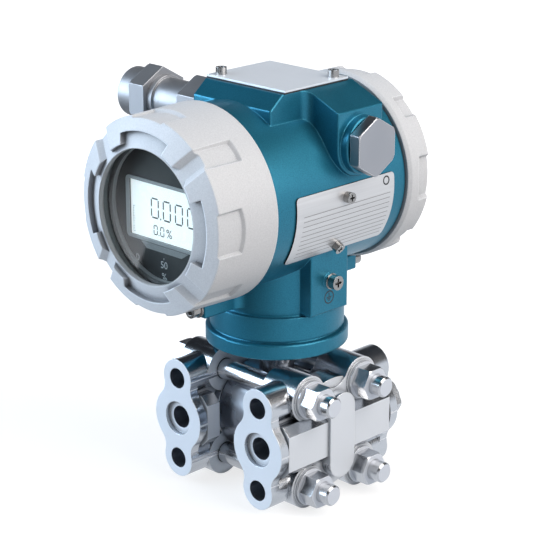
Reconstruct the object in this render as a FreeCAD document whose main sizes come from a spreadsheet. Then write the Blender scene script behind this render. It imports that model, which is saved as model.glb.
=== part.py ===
# Differential pressure transmitter: two process flanges bolted round a pressure capsule, which
# carries a round two-chamber instrument housing on its neck. Millimetres, +Z up.
# The origin is the centre of the four process bolt holes on the front sealing faces (Y = 0).
# +Y runs into the instrument, so the ports and the display look along -Y, and X runs across
# the two ports.
import FreeCAD, Part
import Sketcher
import math
import os
import re

Vector = FreeCAD.Vector
X_AXIS = Vector(1, 0, 0)
Y_AXIS = Vector(0, 1, 0)
Z_AXIS = Vector(0, 0, 1)

doc = FreeCAD.newDocument("pressure_transmitter")

# Driving dimensions. Each line is an alias, its value, and what it measures.
SIZES = (
    # process flanges
    ("port_spacing", 54.0, "between the two process ports"),
    ("hole_spacing", 41.3, "between the upper and lower process bolt holes"),
    ("hole_bore", 10.0, "tapped process bolt hole"),
    ("hole_depth", 15.0, "depth of a tapped process bolt hole"),
    ("rear_hole_bore", 9.0, "tapped bracket hole in the rear face"),
    ("flange_depth", 81.2, "front sealing face to rear face of a flange"),
    ("lobe_radius", 9.4, "round lobe about a process bolt hole"),
    ("bulge_radius", 15.5, "round bulge of the sealing face about the port"),
    ("waist_radius", 8.0, "hollow between a lobe and the bulge"),
    ("face_thickness", 5.0, "thickness of the lobed sealing face"),
    ("port_bore", 11.0, "process port"),
    ("port_depth", 20.0, "depth of the process port"),
    ("seal_bore", 16.8, "seal recess round the port"),
    ("seal_depth", 2.4, "depth of the seal recess"),
    ("duct_bore", 5.0, "duct from the port to the pressure chamber"),
    ("chamber_radius", 17.5, "pressure chamber in the flange's inner face"),
    ("chamber_depth", 1.5, "depth of the pressure chamber"),
    ("drum_radius", 27.0, "round body of the flange behind the capsule"),
    ("drum_taper", 8.0, "length of the tapered end of the round body"),
    ("drum_length", 19.0, "length of the round body"),
    ("ear_radius", 11.0, "boss round a flange bolt"),
    ("ear_length", 10.9, "end of a flange bolt boss beyond the port axis"),
    ("spot_radius", 9.8, "raised seat under a bolt washer"),
    ("spot_rise", 0.6, "height of the raised seat"),
    ("saddle_radius", 9.5, "hollow between two bolt bosses"),
    ("bar_reach", 15.0, "channel bar's side face from the port axis"),
    ("bar_height", 25.4, "height of the channel bar"),
    ("bar_flat", 17.4, "height of the flat on the channel bar's side"),
    ("bar_inset", 5.5, "channel bar behind the sealing face"),
    ("bar_end", 8.0, "length of the channel bar's inner stub"),
    ("web_half", 6.5, "half thickness of the web between lobe, bar and boss"),
    ("web_inset", 3.0, "web behind the sealing face"),
    ("pad_half_width", 8.4, "half width of the rounded pad on the flange's side"),
    ("pad_half_height", 21.4, "half height of the rounded pad"),
    ("pad_reach", 16.4, "rounded pad's face from the port axis"),
    # flange bolts
    ("bolt_spacing_y", 35.8, "between flange bolts along the flange"),
    ("bolt_spacing_z", 44.0, "between upper and lower flange bolts"),
    ("bolt_diameter", 10.0, "flange bolt"),
    ("bolt_clearance", 0.3, "flange bolt to its hole, on the radius"),
    ("bolt_overhang", 6.6, "bolt end beyond its nut"),
    ("bolt_chamfer", 0.8, "bevel on the bolt end"),
    ("nut_flats", 14.5, "across flats of the flange nut and bolt head"),
    ("nut_height", 8.0, "flange nut"),
    ("head_height", 6.4, "flange bolt head"),
    ("hex_bevel", 0.7, "bevel on the corners of a hexagon"),
    ("washer_radius", 9.0, "flange washer"),
    ("washer_height", 1.4, "flange washer"),
    # vent valves
    ("vent_flats", 19.0, "across flats of the vent valve body"),
    ("vent_length", 9.0, "vent valve body beyond the rear face"),
    ("vent_stub", 12.0, "vent valve body inside the port"),
    ("vent_stem_flats", 9.0, "across flats of the vent stem"),
    ("vent_stem_length", 5.0, "vent stem beyond the valve body"),
    ("vent_stem_bore", 5.0, "vent stem's shank"),
    # pressure capsule
    ("capsule_radius", 22.8, "pressure capsule"),
    ("capsule_length", 33.8, "pressure capsule across its two faces"),
    ("gasket_thickness", 0.8, "ring gasket between capsule and flange"),
    ("gasket_outer", 22.3, "outer radius of the ring gasket"),
    ("gasket_inner", 19.6, "inner radius of the ring gasket"),
    ("diaphragm_radius", 17.2, "isolating diaphragm"),
    ("diaphragm_recess", 0.8, "recess of the capsule face behind the diaphragm"),
    ("diaphragm_wave", 0.3, "height of a ring in the diaphragm"),
    ("diaphragm_ridge", 1.7, "half width of a ring in the diaphragm"),
    ("diaphragm_inner", 6.6, "radius of the inner ring in the diaphragm"),
    ("diaphragm_outer", 12.0, "radius of the outer ring in the diaphragm"),
    ("neck_tube_radius", 8.5, "capsule's neck tube"),
    ("neck_plug_radius", 20.0, "threaded head of the neck tube, inside the housing"),
    ("neck_plug_bottom", 41.0, "underside of that head"),
    ("neck_plug_top", 61.0, "top of that head"),
    ("cable_duct_radius", 5.0, "duct from the neck to the front chamber"),
    ("cable_duct_y", 25.5, "duct from the neck to the front chamber, along the housing"),
    # housing neck
    ("collar_radius", 34.2, "collar at the foot of the housing"),
    ("collar_bottom", 38.9, "underside of the collar"),
    ("collar_height", 7.4, "collar"),
    ("neck_radius", 32.2, "housing neck"),
    ("neck_step", 58.7, "height of the step line in the neck"),
    ("neck_step_depth", 2.6, "depth of the step in the neck"),
    ("groove_width", 1.0, "groove above the collar"),
    ("groove_depth", 0.9, "depth of the groove"),
    ("neck_pad_half", 12.5, "half width of the earthing pad on the neck"),
    ("neck_pad_reach", 34.0, "earthing pad's face from the neck axis"),
    ("neck_pad_bottom", 15.3, "bottom of the earthing pad below the earthing screw"),
    ("edge_round", 0.8, "rounded edge of the casting"),
    # housing barrel
    ("barrel_height", 115.8, "barrel axis above the port axis"),
    ("barrel_radius", 43.4, "housing barrel"),
    ("barrel_front", 5.3, "barrel's front edge ahead of the sealing faces"),
    ("barrel_length", 87.4, "housing barrel"),
    ("spigot_radius", 40.9, "threaded spigot that carries a cover"),
    ("front_spigot", 18.7, "length of the front spigot"),
    ("rear_spigot", 9.9, "length of the rear spigot"),
    ("chamber_bore", 36.2, "radius of the two chambers"),
    ("partition_front", 31.0, "front of the wall between the chambers"),
    ("partition_thickness", 5.5, "wall between the chambers"),
    # housing top
    ("platform_half", 24.7, "half width of the top platform"),
    ("platform_front", 10.8, "front of the top platform"),
    ("platform_top", 5.3, "top of the platform above the barrel"),
    ("platform_bevel_y", 7.6, "depth of the platform's front bevel"),
    ("platform_bevel_z", 6.3, "height of the platform's front bevel"),
    ("conduit_y", 49.5, "conduit axis along the housing"),
    ("conduit_z", 24.2, "conduit axis above the barrel axis"),
    ("boss_half", 15.0, "half width of the conduit boss"),
    ("boss_reach", 43.7, "conduit boss face from the middle"),
    ("boss_top", 8.2, "top edge of the conduit boss face below the platform's top"),
    ("boss_fillet", 5.0, "hollow between platform and conduit boss"),
    ("ring_radius", 13.4, "raised ring round the conduit entry"),
    ("ring_rise", 4.0, "height of the raised ring"),
    ("conduit_bore", 18.5, "conduit entry"),
    # cover locks
    ("lug_half", 4.5, "half width of a cover lock lug"),
    ("lug_reach", 51.6, "lug's face from the neck axis"),
    ("lug_bottom", 7.7, "underside of a lug below its top"),
    ("lug_hollow", 5.0, "hollow between a lug and the neck"),
    ("lug_top", 0.8, "top of a lug below the cover"),
    ("lock_height", 4.0, "lock screws below the top of a lug"),
    ("lock_head_radius", 3.1, "lock screw head"),
    ("lock_head_height", 4.4, "lock screw head"),
    ("lock_shank_radius", 1.9, "lock screw shank"),
    ("lock_shank_length", 8.0, "lock screw in its lug"),
    ("lock_washer_radius", 3.8, "lock screw washer"),
    ("lock_washer_height", 0.8, "lock screw washer"),
    # covers
    ("cover_radius", 45.8, "outer radius of both covers"),
    ("cover_gap", 0.4, "cover's rim from the barrel's edge"),
    ("cover_draft", 0.8, "taper of the front cover's side"),
    ("cover_side", 33.8, "length of the front cover's side"),
    ("face_rise", 4.7, "front cover's raised sectors stand out towards the middle"),
    ("sector_inner", 33.5, "inner radius of a raised sector"),
    ("sector_height", 3.0, "height of a raised sector"),
    ("sector_root", 1.0, "raised sector below the surface that it stands on"),
    ("window_radius", 30.7, "window opening"),
    ("window_lip", 2.8, "thickness of the lip in front of the glass"),
    ("recess_outer", 38.5, "outer radius of a sector's recess"),
    ("recess_angle", 46.0, "angle of a sector's recess"),
    ("notch_width", 5.4, "floor of a radial notch between two sectors"),
    ("grip_depth", 1.9, "depth of a grip pocket in the cover's side"),
    ("wide_grip_angle", 27.0, "angle of a wide grip pocket"),
    ("wide_grip_length", 15.0, "length of a wide grip pocket"),
    ("narrow_grip_angle", 15.0, "angle of a narrow grip pocket"),
    ("narrow_grip_length", 22.5, "length of a narrow grip pocket"),
    ("thread_clearance", 0.1, "cover thread to spigot, on the radius"),
    ("seal_land", 41.9, "radius of the cover's sealing land"),
    ("seal_land_length", 4.8, "length of the cover's sealing land"),
    ("thread_length", 18.5, "thread in the front cover"),
    ("inner_bore", 37.5, "radius of the front cover behind its clamp ring"),
    ("seat_depth", 8.2, "depth of the glass seat"),
    ("seat_radius", 34.2, "glass seat"),
    ("rear_length", 15.0, "rear cover"),
    ("rear_rim_radius", 44.6, "rear cover's rim"),
    ("rear_rim_bevel", 2.0, "length of the rear cover's rim bevel"),
    ("rear_thread", 6.0, "thread in the rear cover past its sealing land"),
    ("rear_grip_length", 8.6, "length of the rear cover's grip pockets"),
    ("rear_dish_radius", 33.0, "shallow dish in the rear cover"),
    ("rear_dish_depth", 1.2, "depth of that dish"),
    ("edge_bevel", 0.8, "small bevel on turned edges"),
    ("seal_section", 1.25, "section radius of a cover seal"),
    ("seal_offset", 2.6, "cover seal from the barrel's edge"),
    ("tool_margin", 5.0, "how far a slanting cut runs past the surface"),
    # window
    ("glass_radius", 34.0, "window glass"),
    ("glass_thickness", 5.0, "window glass"),
    ("glass_gasket", 0.3, "gasket on each side of the glass"),
    ("clamp_ring_inner", 31.3, "inner radius of the glass clamp ring"),
    ("clamp_ring_thickness", 2.2, "glass clamp ring"),
    # display
    ("dial_front", 31.6, "dial face ahead of the sealing faces"),
    ("dial_radius", 31.2, "dial plate"),
    ("dial_thickness", 0.6, "dial plate"),
    ("lcd_half_width", 21.8, "half width of the visible panel"),
    ("lcd_half_height", 12.9, "half height of the visible panel"),
    ("lcd_drop", 1.1, "panel centre below the barrel axis"),
    ("lcd_thickness", 3.0, "panel"),
    ("lcd_margin", 1.6, "panel behind the dial, past its window"),
    ("frame_width_x", 2.3, "border at the panel's sides"),
    ("frame_width_z", 1.5, "border above and below the panel"),
    ("frame_rise", 0.35, "border proud of the dial"),
    ("frame_corner", 2.4, "rounded corner of the border"),
    ("case_radius", 33.0, "display case"),
    ("case_depth", 17.6, "display case"),
    ("case_wall", 2.2, "wall of the display case"),
    ("board_thickness", 1.6, "circuit board"),
    ("hub_radius", 6.0, "display case's turning hub"),
    ("hub_length", 3.0, "display case's turning hub"),
    ("hub_clearance", 0.05, "turning hub to its socket, on the radius"),
    ("turn_clearance", 0.05, "neck tube to the housing bore, on the radius"),
    ("running_gap", 0.4, "free gap between pieces that turn past each other"),
    # electronics and terminals
    ("module_radius", 34.6, "potted electronics module"),
    ("block_half_width", 21.0, "half width of the terminal block"),
    ("block_bottom", 26.3, "underside of the terminal block below the barrel axis"),
    ("block_height", 23.0, "terminal block"),
    ("block_length", 31.0, "terminal block from the partition"),
    ("terminal_pitch", 10.0, "between terminals"),
    ("rib_width", 1.6, "rib between terminals"),
    ("rib_height", 5.0, "rib between terminals"),
    ("clamp_width", 7.0, "terminal clamp plate"),
    ("clamp_thickness", 1.2, "terminal clamp plate"),
    ("terminal_head", 2.9, "terminal screw head radius"),
    ("terminal_shank", 1.5, "terminal screw shank radius"),
    ("pan_height", 1.9, "pan head of a small screw"),
    ("inner_earth_x", 10.5, "inner earthing screw from the middle"),
    ("inner_earth_z", 11.5, "inner earthing screw above the barrel axis"),
    # conduit plug and cable gland
    ("plug_flats", 24.0, "across flats of the conduit plug"),
    ("plug_head", 5.5, "conduit plug head"),
    ("plug_bevel", 1.1, "bevel on the conduit plug's face"),
    ("thread_fit", 0.05, "conduit thread to its bore, on the radius"),
    ("stub_length", 17.0, "conduit thread"),
    ("washer_seal", 0.6, "seal under the conduit plug"),
    ("gland_washer_height", 1.5, "seal under the gland"),
    ("gland_hex_flats", 26.2, "across flats of the gland body"),
    ("gland_hex_length", 14.6, "gland body's hexagon"),
    ("gland_tube_radius", 10.5, "gland body's round part"),
    ("gland_tube_length", 20.2, "gland body's round part"),
    ("gland_ring_radius", 11.7, "ring between gland body and nut"),
    ("gland_ring_length", 3.3, "ring between gland body and nut"),
    ("gland_nut_flats", 27.2, "across flats of the gland nut"),
    ("gland_nut_length", 10.6, "gland nut's hexagon"),
    ("gland_cap_radius", 12.6, "gland nut's round end"),
    ("gland_cap_length", 9.8, "gland nut's round end"),
    ("gland_bore", 13.0, "cable bore in the gland"),
    ("gland_seal_radius", 8.8, "rubber sleeve in the gland nut"),
    ("gland_seal_bore", 9.0, "cable hole in the rubber sleeve"),
    ("gland_thread_radius", 9.6, "gland body's thread inside the nut"),
    ("gland_thread_length", 5.0, "gland body's thread inside the nut"),
    # name plates and screws
    ("top_plate_half_x", 25.0, "half width of the top plate"),
    ("top_plate_half_y", 20.8, "half length of the top plate"),
    ("plate_thickness", 0.9, "top plate"),
    ("underlay_thickness", 0.7, "dark underlay of the top plate"),
    ("top_screw_x", 20.5, "top plate screw from the middle"),
    ("top_screw_y", 15.8, "top plate screw from the neck axis"),
    ("side_plate_half", 32.6, "half length of the side plate"),
    ("side_plate_top", 9.0, "upper edge of the side plate, as an angle"),
    ("side_plate_angle", 45.4, "side plate round the barrel, as an angle"),
    ("side_plate_thickness", 0.7, "side plate"),
    ("side_plate_corner", 2.0, "rounded corner of the side plate"),
    ("side_screw_upper", 7.5, "upper screw below the side plate's upper edge, as an angle"),
    ("side_screw_lower", 5.0, "lower screw above the side plate's lower edge, as an angle"),
    ("plate_screw_head", 2.6, "name plate screw head radius"),
    ("plate_screw_shank", 1.4, "name plate screw shank radius"),
    ("plate_screw_height", 3.3, "name plate screw head"),
    ("plate_screw_length", 5.0, "name plate screw shank"),
    ("key_part", 0.5, "hexagonal key socket, as a part of its screw head"),
    ("cross_reach", 0.64, "arm of a cross recess, as a part of its screw head's radius"),
    ("cross_width", 0.17, "half width of that arm, as a part of the same radius"),
    ("earth_z", 41.1, "earthing screw below the barrel axis"),
    ("earth_boss_radius", 3.9, "boss of the earthing screw"),
    ("earth_boss_rise", 0.8, "boss of the earthing screw"),
    ("earth_head", 3.4, "earthing screw head radius"),
    ("earth_head_height", 4.0, "earthing screw head"),
    ("earth_shank", 1.9, "earthing screw shank radius"),
    ("earth_washer_radius", 3.8, "earthing screw washer"),
    ("earth_washer_height", 0.7, "earthing screw washer"),
    ("set_screw_radius", 2.4, "set screw that holds the swivel"),
    ("set_screw_z", 52.5, "height of the set screw"),
    ("set_screw_length", 11.5, "set screw"),
    ("screw_fit", 0.05, "small screw to its hole, on the radius"),
)

sizes = doc.addObject("Spreadsheet::Sheet", "Sizes")
for row, (alias, value, meaning) in enumerate(SIZES, start=1):
    sizes.set("A%d" % row, meaning)
    sizes.set("B%d" % row, str(value))
    sizes.setAlias("B%d" % row, alias)
doc.recompute()

ALIASES = {alias for alias, value, meaning in SIZES}
WORD = re.compile(r"[a-z][a-z_]*")


def bind(text):
    """Turn words of the sheet in a formula into references to its cells."""
    return WORD.sub(lambda word: "Sizes." + word.group() if word.group() in ALIASES else word.group(), text)


def size(alias):
    """The present value of one cell."""
    return float(sizes.get(alias))


# Places that several pieces share, written once in the sheet's own words.
FLANGE_X = "port_spacing / 2"
NECK_Y = "flange_depth / 2"
INNER_X = "(capsule_length / 2 + gasket_thickness)"
SEAT_X = f"({FLANGE_X} + ear_length + spot_rise)"
EAR_LENGTH = f"({SEAT_X} - spot_rise - {INNER_X})"
NUT_X = f"({SEAT_X} + washer_height)"
BARREL_REAR = "(barrel_length - barrel_front)"
PARTITION_REAR = "(partition_front + partition_thickness)"
RING_X = "(boss_reach + ring_rise)"
PLATFORM_Z = "(barrel_height + barrel_radius + platform_top)"
BOSS_Z = f"({PLATFORM_Z} - boss_top)"
CONDUIT_Z = "(barrel_height + conduit_z)"
EARTH_Z = "(barrel_height - earth_z)"
PAD_BOTTOM = f"({EARTH_Z} - neck_pad_bottom)"
LUG_TOP = "(barrel_height - cover_radius - lug_top)"
LUG_BOTTOM = f"({LUG_TOP} - lug_bottom)"
LOCK_Z = f"({LUG_TOP} - lock_height)"
SIDE_LOW = "(barrel_height - barrel_radius * sin(side_plate_angle - side_plate_top))"
BLOCK_BOTTOM = "(barrel_height - block_bottom)"
INNER_EARTH_Z = "(barrel_height + inner_earth_z)"
COVER_RIM = "(-barrel_front - cover_gap)"
COVER_CORNER = "(-barrel_front - cover_gap - cover_side)"
FACE_RUN = "(cover_radius - cover_draft - window_radius) / (cover_radius - cover_draft - sector_inner)"
LIP_FRONT = f"({COVER_CORNER} + sector_height - face_rise * {FACE_RUN})"
SEAT_FRONT = f"({LIP_FRONT} + window_lip)"
CLAMP_FRONT = f"({SEAT_FRONT} + 2 * glass_gasket + glass_thickness)"
CASE_REAR = "(-dial_front + case_depth)"
MODULE_FRONT = f"({CASE_REAR} + running_gap)"


def turn_to(axis):
    """The rotation that takes +Z to the given axis."""
    return FreeCAD.Rotation(Z_AXIS, axis)


def place(piece, x="0", y="0", z="0", rotation=None):
    """Put a piece at a place given by formulas."""
    piece.Placement = FreeCAD.Placement(Vector(0, 0, 0), rotation or FreeCAD.Rotation())
    for coordinate, text in (("x", x), ("y", y), ("z", z)):
        piece.setExpression("Placement.Base." + coordinate, bind(text))
    return piece


def cylinder(name, radius, height, x="0", y="0", z="0", axis=Z_AXIS):
    """A round bar that starts at a point and runs along an axis."""
    piece = doc.addObject("Part::Cylinder", name)
    piece.setExpression("Radius", bind(radius))
    piece.setExpression("Height", bind(height))
    return place(piece, x, y, z, turn_to(axis))


def cone(name, radius_start, radius_end, height, x="0", y="0", z="0", axis=Z_AXIS):
    """A tapered round bar."""
    piece = doc.addObject("Part::Cone", name)
    piece.setExpression("Radius1", bind(radius_start))
    piece.setExpression("Radius2", bind(radius_end))
    piece.setExpression("Height", bind(height))
    return place(piece, x, y, z, turn_to(axis))


def box(name, x, y, z, length, width, height):
    """A box from its lowest corner and its extents along X, Y and Z."""
    piece = doc.addObject("Part::Box", name)
    piece.setExpression("Length", bind(length))
    piece.setExpression("Width", bind(width))
    piece.setExpression("Height", bind(height))
    return place(piece, x, y, z)


def hexagon(name, flats, height, x, y, z, axis, quarter=0.0):
    """A hexagonal bar, given across its flats, turned about its own axis by an angle."""
    piece = doc.addObject("Part::Prism", name)
    piece.Polygon = 6
    piece.setExpression("Circumradius", bind("(%s) / 2 / cos(30)" % flats))
    piece.setExpression("Height", bind(height))
    spin = FreeCAD.Rotation(Z_AXIS, quarter)
    return place(piece, x, y, z, turn_to(axis).multiply(spin))


def bevelled_hexagon(name, flats, height, place_of, axis, quarter=0.0):
    """A hexagonal bar whose corners are turned off to a cone at its far end."""
    corner = f"(({flats}) / 2 / cos(30))"
    plain = f"({height} - hex_bevel)"
    far = [f"{start} + {plain} * {int(step)}" for start, step in zip(place_of, axis)]
    bar = hexagon(name + "_bar", flats, height, *place_of, axis, quarter)
    lower = cylinder(name + "_lower", corner, plain, *place_of, axis)
    upper = cone(name + "_upper", corner, f"{corner} - hex_bevel", "hex_bevel", *far, axis)
    return common(name, (bar, fuse(name + "_turned", (lower, upper))))


def fuse(name, pieces, refine=True):
    """One solid from several that meet."""
    piece = doc.addObject("Part::MultiFuse", name)
    piece.Shapes = list(pieces)
    piece.Refine = refine
    return piece


def common(name, pieces):
    """What several solids share."""
    piece = doc.addObject("Part::MultiCommon", name)
    piece.Shapes = list(pieces)
    return piece


def cut(name, base, tools, refine=True):
    """A solid less the given tools."""
    tool = tools[0] if len(tools) == 1 else fuse(name + "_tools", tools, refine)
    piece = doc.addObject("Part::Cut", name)
    piece.Base = base
    piece.Tool = tool
    piece.Refine = refine
    return piece


def group(name, pieces):
    """Separate like solids in one node."""
    piece = doc.addObject("Part::Compound", name)
    piece.Links = list(pieces)
    return piece


def mirror(name, source, normal, x="0", y="0", z="0"):
    """A mirror image of a piece across a plane."""
    piece = doc.addObject("Part::Mirroring", name)
    piece.Source = source
    piece.Normal = normal
    for coordinate, text in (("x", x), ("y", y), ("z", z)):
        piece.setExpression("Base." + coordinate, bind(text))
    return piece


def outline(body, name, role, points):
    """A closed sketch of straight lines on one of a body's origin planes."""
    plane = [feature for feature in body.Origin.OriginFeatures if feature.Role == role][0]
    sketch = body.newObject("Sketcher::SketchObject", name)
    sketch.AttachmentSupport = (plane, [""])
    sketch.MapMode = "FlatFace"
    places = [Vector(float(k), float(k * k) + 1.0, 0) for k in range(len(points))]
    for k in range(len(points)):
        sketch.addGeometry(Part.LineSegment(places[k], places[(k + 1) % len(points)]), False)
    values = []
    for k, (across, along) in enumerate(points):
        values.append((k, "DistanceX", across))
        values.append((k, "DistanceY", along))
    for k in range(len(points)):
        sketch.addConstraint(Sketcher.Constraint("Coincident", k, 2, (k + 1) % len(points), 1))
    for k, kind, text in values:
        if text == "0":
            axis_line = -2 if kind == "DistanceX" else -1
            sketch.addConstraint(Sketcher.Constraint("PointOnObject", k, 1, axis_line))
        else:
            number = sketch.addConstraint(Sketcher.Constraint(kind, -1, 1, k, 1, 1.0 + k))
            sketch.setExpression("Constraints[%d]" % number, bind(text))
    return sketch


def padded(name, role, points, length, x="0", y="0", z="0", midplane=False, reverse=False):
    """A straight bar with a drawn section."""
    body = doc.addObject("PartDesign::Body", name)
    sketch = outline(body, name + "_section", role, points)
    pad = body.newObject("PartDesign::Pad", name + "_pad")
    pad.Profile = sketch
    pad.setExpression("Length", bind(length))
    pad.SideType = "Symmetric" if midplane else "One side"
    pad.Reversed = reverse
    return place(body, x, y, z)


def turned(name, role, points, axis_name, x="0", y="0", z="0"):
    """A solid of revolution with a drawn section."""
    body = doc.addObject("PartDesign::Body", name)
    sketch = outline(body, name + "_section", role, points)
    revolution = body.newObject("PartDesign::Revolution", name + "_turn")
    revolution.Profile = sketch
    revolution.ReferenceAxis = (sketch, [axis_name])
    revolution.Angle = 360.0
    return place(body, x, y, z)


def pie(name, radius, length, y, z, middle, angle):
    """A slice of a round bar along Y, centred on an angle measured from +X towards +Z."""
    piece = doc.addObject("Part::Cylinder", name)
    piece.setExpression("Radius", bind(radius))
    piece.setExpression("Height", bind(length))
    piece.setExpression("Angle", bind(angle))
    start = FreeCAD.Rotation(Y_AXIS, -middle).multiply(FreeCAD.Rotation(X_AXIS, -90))
    half = FreeCAD.Rotation(Z_AXIS, -size(angle) / 2)
    return place(piece, "0", y, z, start.multiply(half))


# Flange for the high pressure side, at +X. It is a casting: two lobed faces, a channel bar
# between them, a round body behind the pressure capsule and four bosses for the bolts.
WAIST_SQUARES = "(bulge_radius + waist_radius)^2 - (lobe_radius + waist_radius)^2"
WAIST_Z = f"(({WAIST_SQUARES} + (hole_spacing / 2)^2) / hole_spacing)"
WAIST_X = f"sqrt((bulge_radius + waist_radius)^2 - {WAIST_Z}^2)"
LOBE_PART = "(lobe_radius / (lobe_radius + waist_radius))"
BULGE_PART = "(bulge_radius / (bulge_radius + waist_radius))"
BOLT_Y = (f"({NECK_Y} - bolt_spacing_y / 2)", f"({NECK_Y} + bolt_spacing_y / 2)")
BOLT_Z = ("-bolt_spacing_z / 2", "bolt_spacing_z / 2")
BOLTS = [(y, z) for y in BOLT_Y for z in BOLT_Z]
HOLE_Z = ("-hole_spacing / 2", "hole_spacing / 2")
SADDLE_Z = "(bolt_spacing_z / 2 + sqrt((ear_radius + saddle_radius)^2 - (bolt_spacing_y / 2)^2))"
EAR_PART = "(ear_radius / (ear_radius + saddle_radius))"


def lobed_face(name, y):
    """One end face of the flange: two lobes and a bulge joined by hollow waists."""
    lobe_x = f"{WAIST_X} * {LOBE_PART}"
    lobe_z = f"(hole_spacing / 2 - (hole_spacing / 2 - {WAIST_Z}) * {LOBE_PART})"
    waist_x = f"{WAIST_X} * {BULGE_PART}"
    waist_z = f"{WAIST_Z} * {BULGE_PART}"
    rim = []
    for side_x, side_z in ((1, 1), (-1, 1), (-1, -1), (1, -1)):
        pair = [(f"{side_x} * {lobe_x}", f"{side_z} * {lobe_z}"), (f"{side_x} * {waist_x}",
                                                                   f"{side_z} * {waist_z}")]
        rim.extend(pair if side_x * side_z < 0 else reversed(pair))
    core = padded(name + "_core", "XZ_Plane", rim, "face_thickness", FLANGE_X, y, "0", reverse=True)
    discs = [cylinder(name + "_bulge", "bulge_radius", "face_thickness", FLANGE_X, y, "0", Y_AXIS)]
    hollows = []
    for k, z in enumerate(HOLE_Z):
        discs.append(cylinder(f"{name}_lobe_{k}", "lobe_radius", "face_thickness", FLANGE_X, y, z, Y_AXIS))
    for k, (side_x, side_z) in enumerate(((1, 1), (-1, 1), (-1, -1), (1, -1))):
        x = f"{FLANGE_X} + {side_x} * {WAIST_X}"
        z = f"{side_z} * {WAIST_Z}"
        hollows.append(cylinder(f"{name}_waist_{k}", "waist_radius", "face_thickness", x, y, z, Y_AXIS))
    return fuse(name, [cut(name + "_plate", core, hollows)] + discs)


def flange_casting():
    """The flange before its holes are made."""
    parts = [lobed_face("front_face", "0"), lobed_face("rear_face", "flange_depth - face_thickness")]
    for k, z in enumerate(HOLE_Z):
        parts.append(cylinder(f"front_lug_{k}", "lobe_radius", BOLT_Y[0], FLANGE_X, "0", z, Y_AXIS))
        parts.append(cylinder(f"rear_lug_{k}", "lobe_radius", BOLT_Y[0], FLANGE_X, BOLT_Y[1], z, Y_AXIS))
    for k, (y, z) in enumerate(BOLTS):
        parts.append(cylinder(f"ear_{k}", "ear_radius", EAR_LENGTH, INNER_X, y, z, X_AXIS))
        spot_x = f"{SEAT_X} - spot_rise"
        parts.append(cylinder(f"spot_{k}", "spot_radius", "spot_rise", spot_x, y, z, X_AXIS))
    parts.append(cone("drum_cone", "capsule_radius", "drum_radius", "drum_taper", INNER_X, NECK_Y, "0",
                      X_AXIS))
    drum_x = f"{INNER_X} + drum_taper"
    parts.append(cylinder("drum", "drum_radius", "drum_length - drum_taper", drum_x, NECK_Y, "0", X_AXIS))
    tangent_y = f"bolt_spacing_y / 2 * (1 - {EAR_PART})"
    tangent_z = f"(bolt_spacing_z / 2 + ({SADDLE_Z} - bolt_spacing_z / 2) * {EAR_PART})"
    saddle = [("bolt_spacing_y / 2", "-bolt_spacing_z / 2"), ("bolt_spacing_y / 2", "bolt_spacing_z / 2"),
              (tangent_y, tangent_z), (f"-{tangent_y}", tangent_z),
              ("-bolt_spacing_y / 2", "bolt_spacing_z / 2"), ("-bolt_spacing_y / 2", "-bolt_spacing_z / 2"),
              (f"-{tangent_y}", f"-{tangent_z}"), (tangent_y, f"-{tangent_z}")]
    block = padded("saddle_block", "YZ_Plane", saddle, EAR_LENGTH, INNER_X, NECK_Y, "0")
    rollers = [cylinder(f"saddle_{k}", "saddle_radius", EAR_LENGTH, INNER_X, NECK_Y,
                        f"{sign} * {SADDLE_Z}", X_AXIS)
               for k, sign in enumerate((-1, 1))]
    parts.append(cut("saddle_web", block, rollers))
    corner = "(bar_height - bar_flat) / 2"
    inner = [("bar_reach", "-bar_flat / 2"), ("bar_reach", "bar_flat / 2"),
             (f"bar_reach - {corner}", "bar_height / 2"), ("0", "bar_height / 2"),
             ("0", "-bar_height / 2"), (f"bar_reach - {corner}", "-bar_height / 2")]
    length = "flange_depth - 2 * bar_inset"
    parts.append(padded("bar_outer", "XZ_Plane", inner, length, FLANGE_X, "bar_inset", "0", reverse=True))
    stub = padded("bar_stub", "XZ_Plane", inner, "bar_end", "0", "bar_inset", "0", reverse=True)
    stub_mirror = mirror("bar_stub_inner", stub, X_AXIS)
    stub_front = doc.addObject("Part::Compound", "bar_stub_front")
    stub_front.Links = [stub_mirror]
    place(stub_front, FLANGE_X, "0", "0")
    parts.append(stub_front)
    parts.append(mirror("bar_stub_rear", stub_front, Y_AXIS, y=NECK_Y))
    web_x = f"{FLANGE_X} - web_half"
    web_length = "flange_depth - 2 * web_inset"
    parts.append(box("web", web_x, "web_inset", "-hole_spacing / 2", "2 * web_half", web_length,
                     "hole_spacing"))
    pad_z = "(pad_half_height - pad_half_width)"
    for k, sign in enumerate((-1, 1)):
        parts.append(cylinder(f"pad_end_{k}", "pad_half_width", "pad_reach", FLANGE_X, NECK_Y,
                              f"{sign} * {pad_z}", X_AXIS))
    parts.append(box("pad_middle", FLANGE_X, f"{NECK_Y} - pad_half_width", f"-{pad_z}",
                     "pad_reach", "2 * pad_half_width", f"2 * {pad_z}"))
    return fuse("flange_casting", parts, refine=False)


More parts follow.
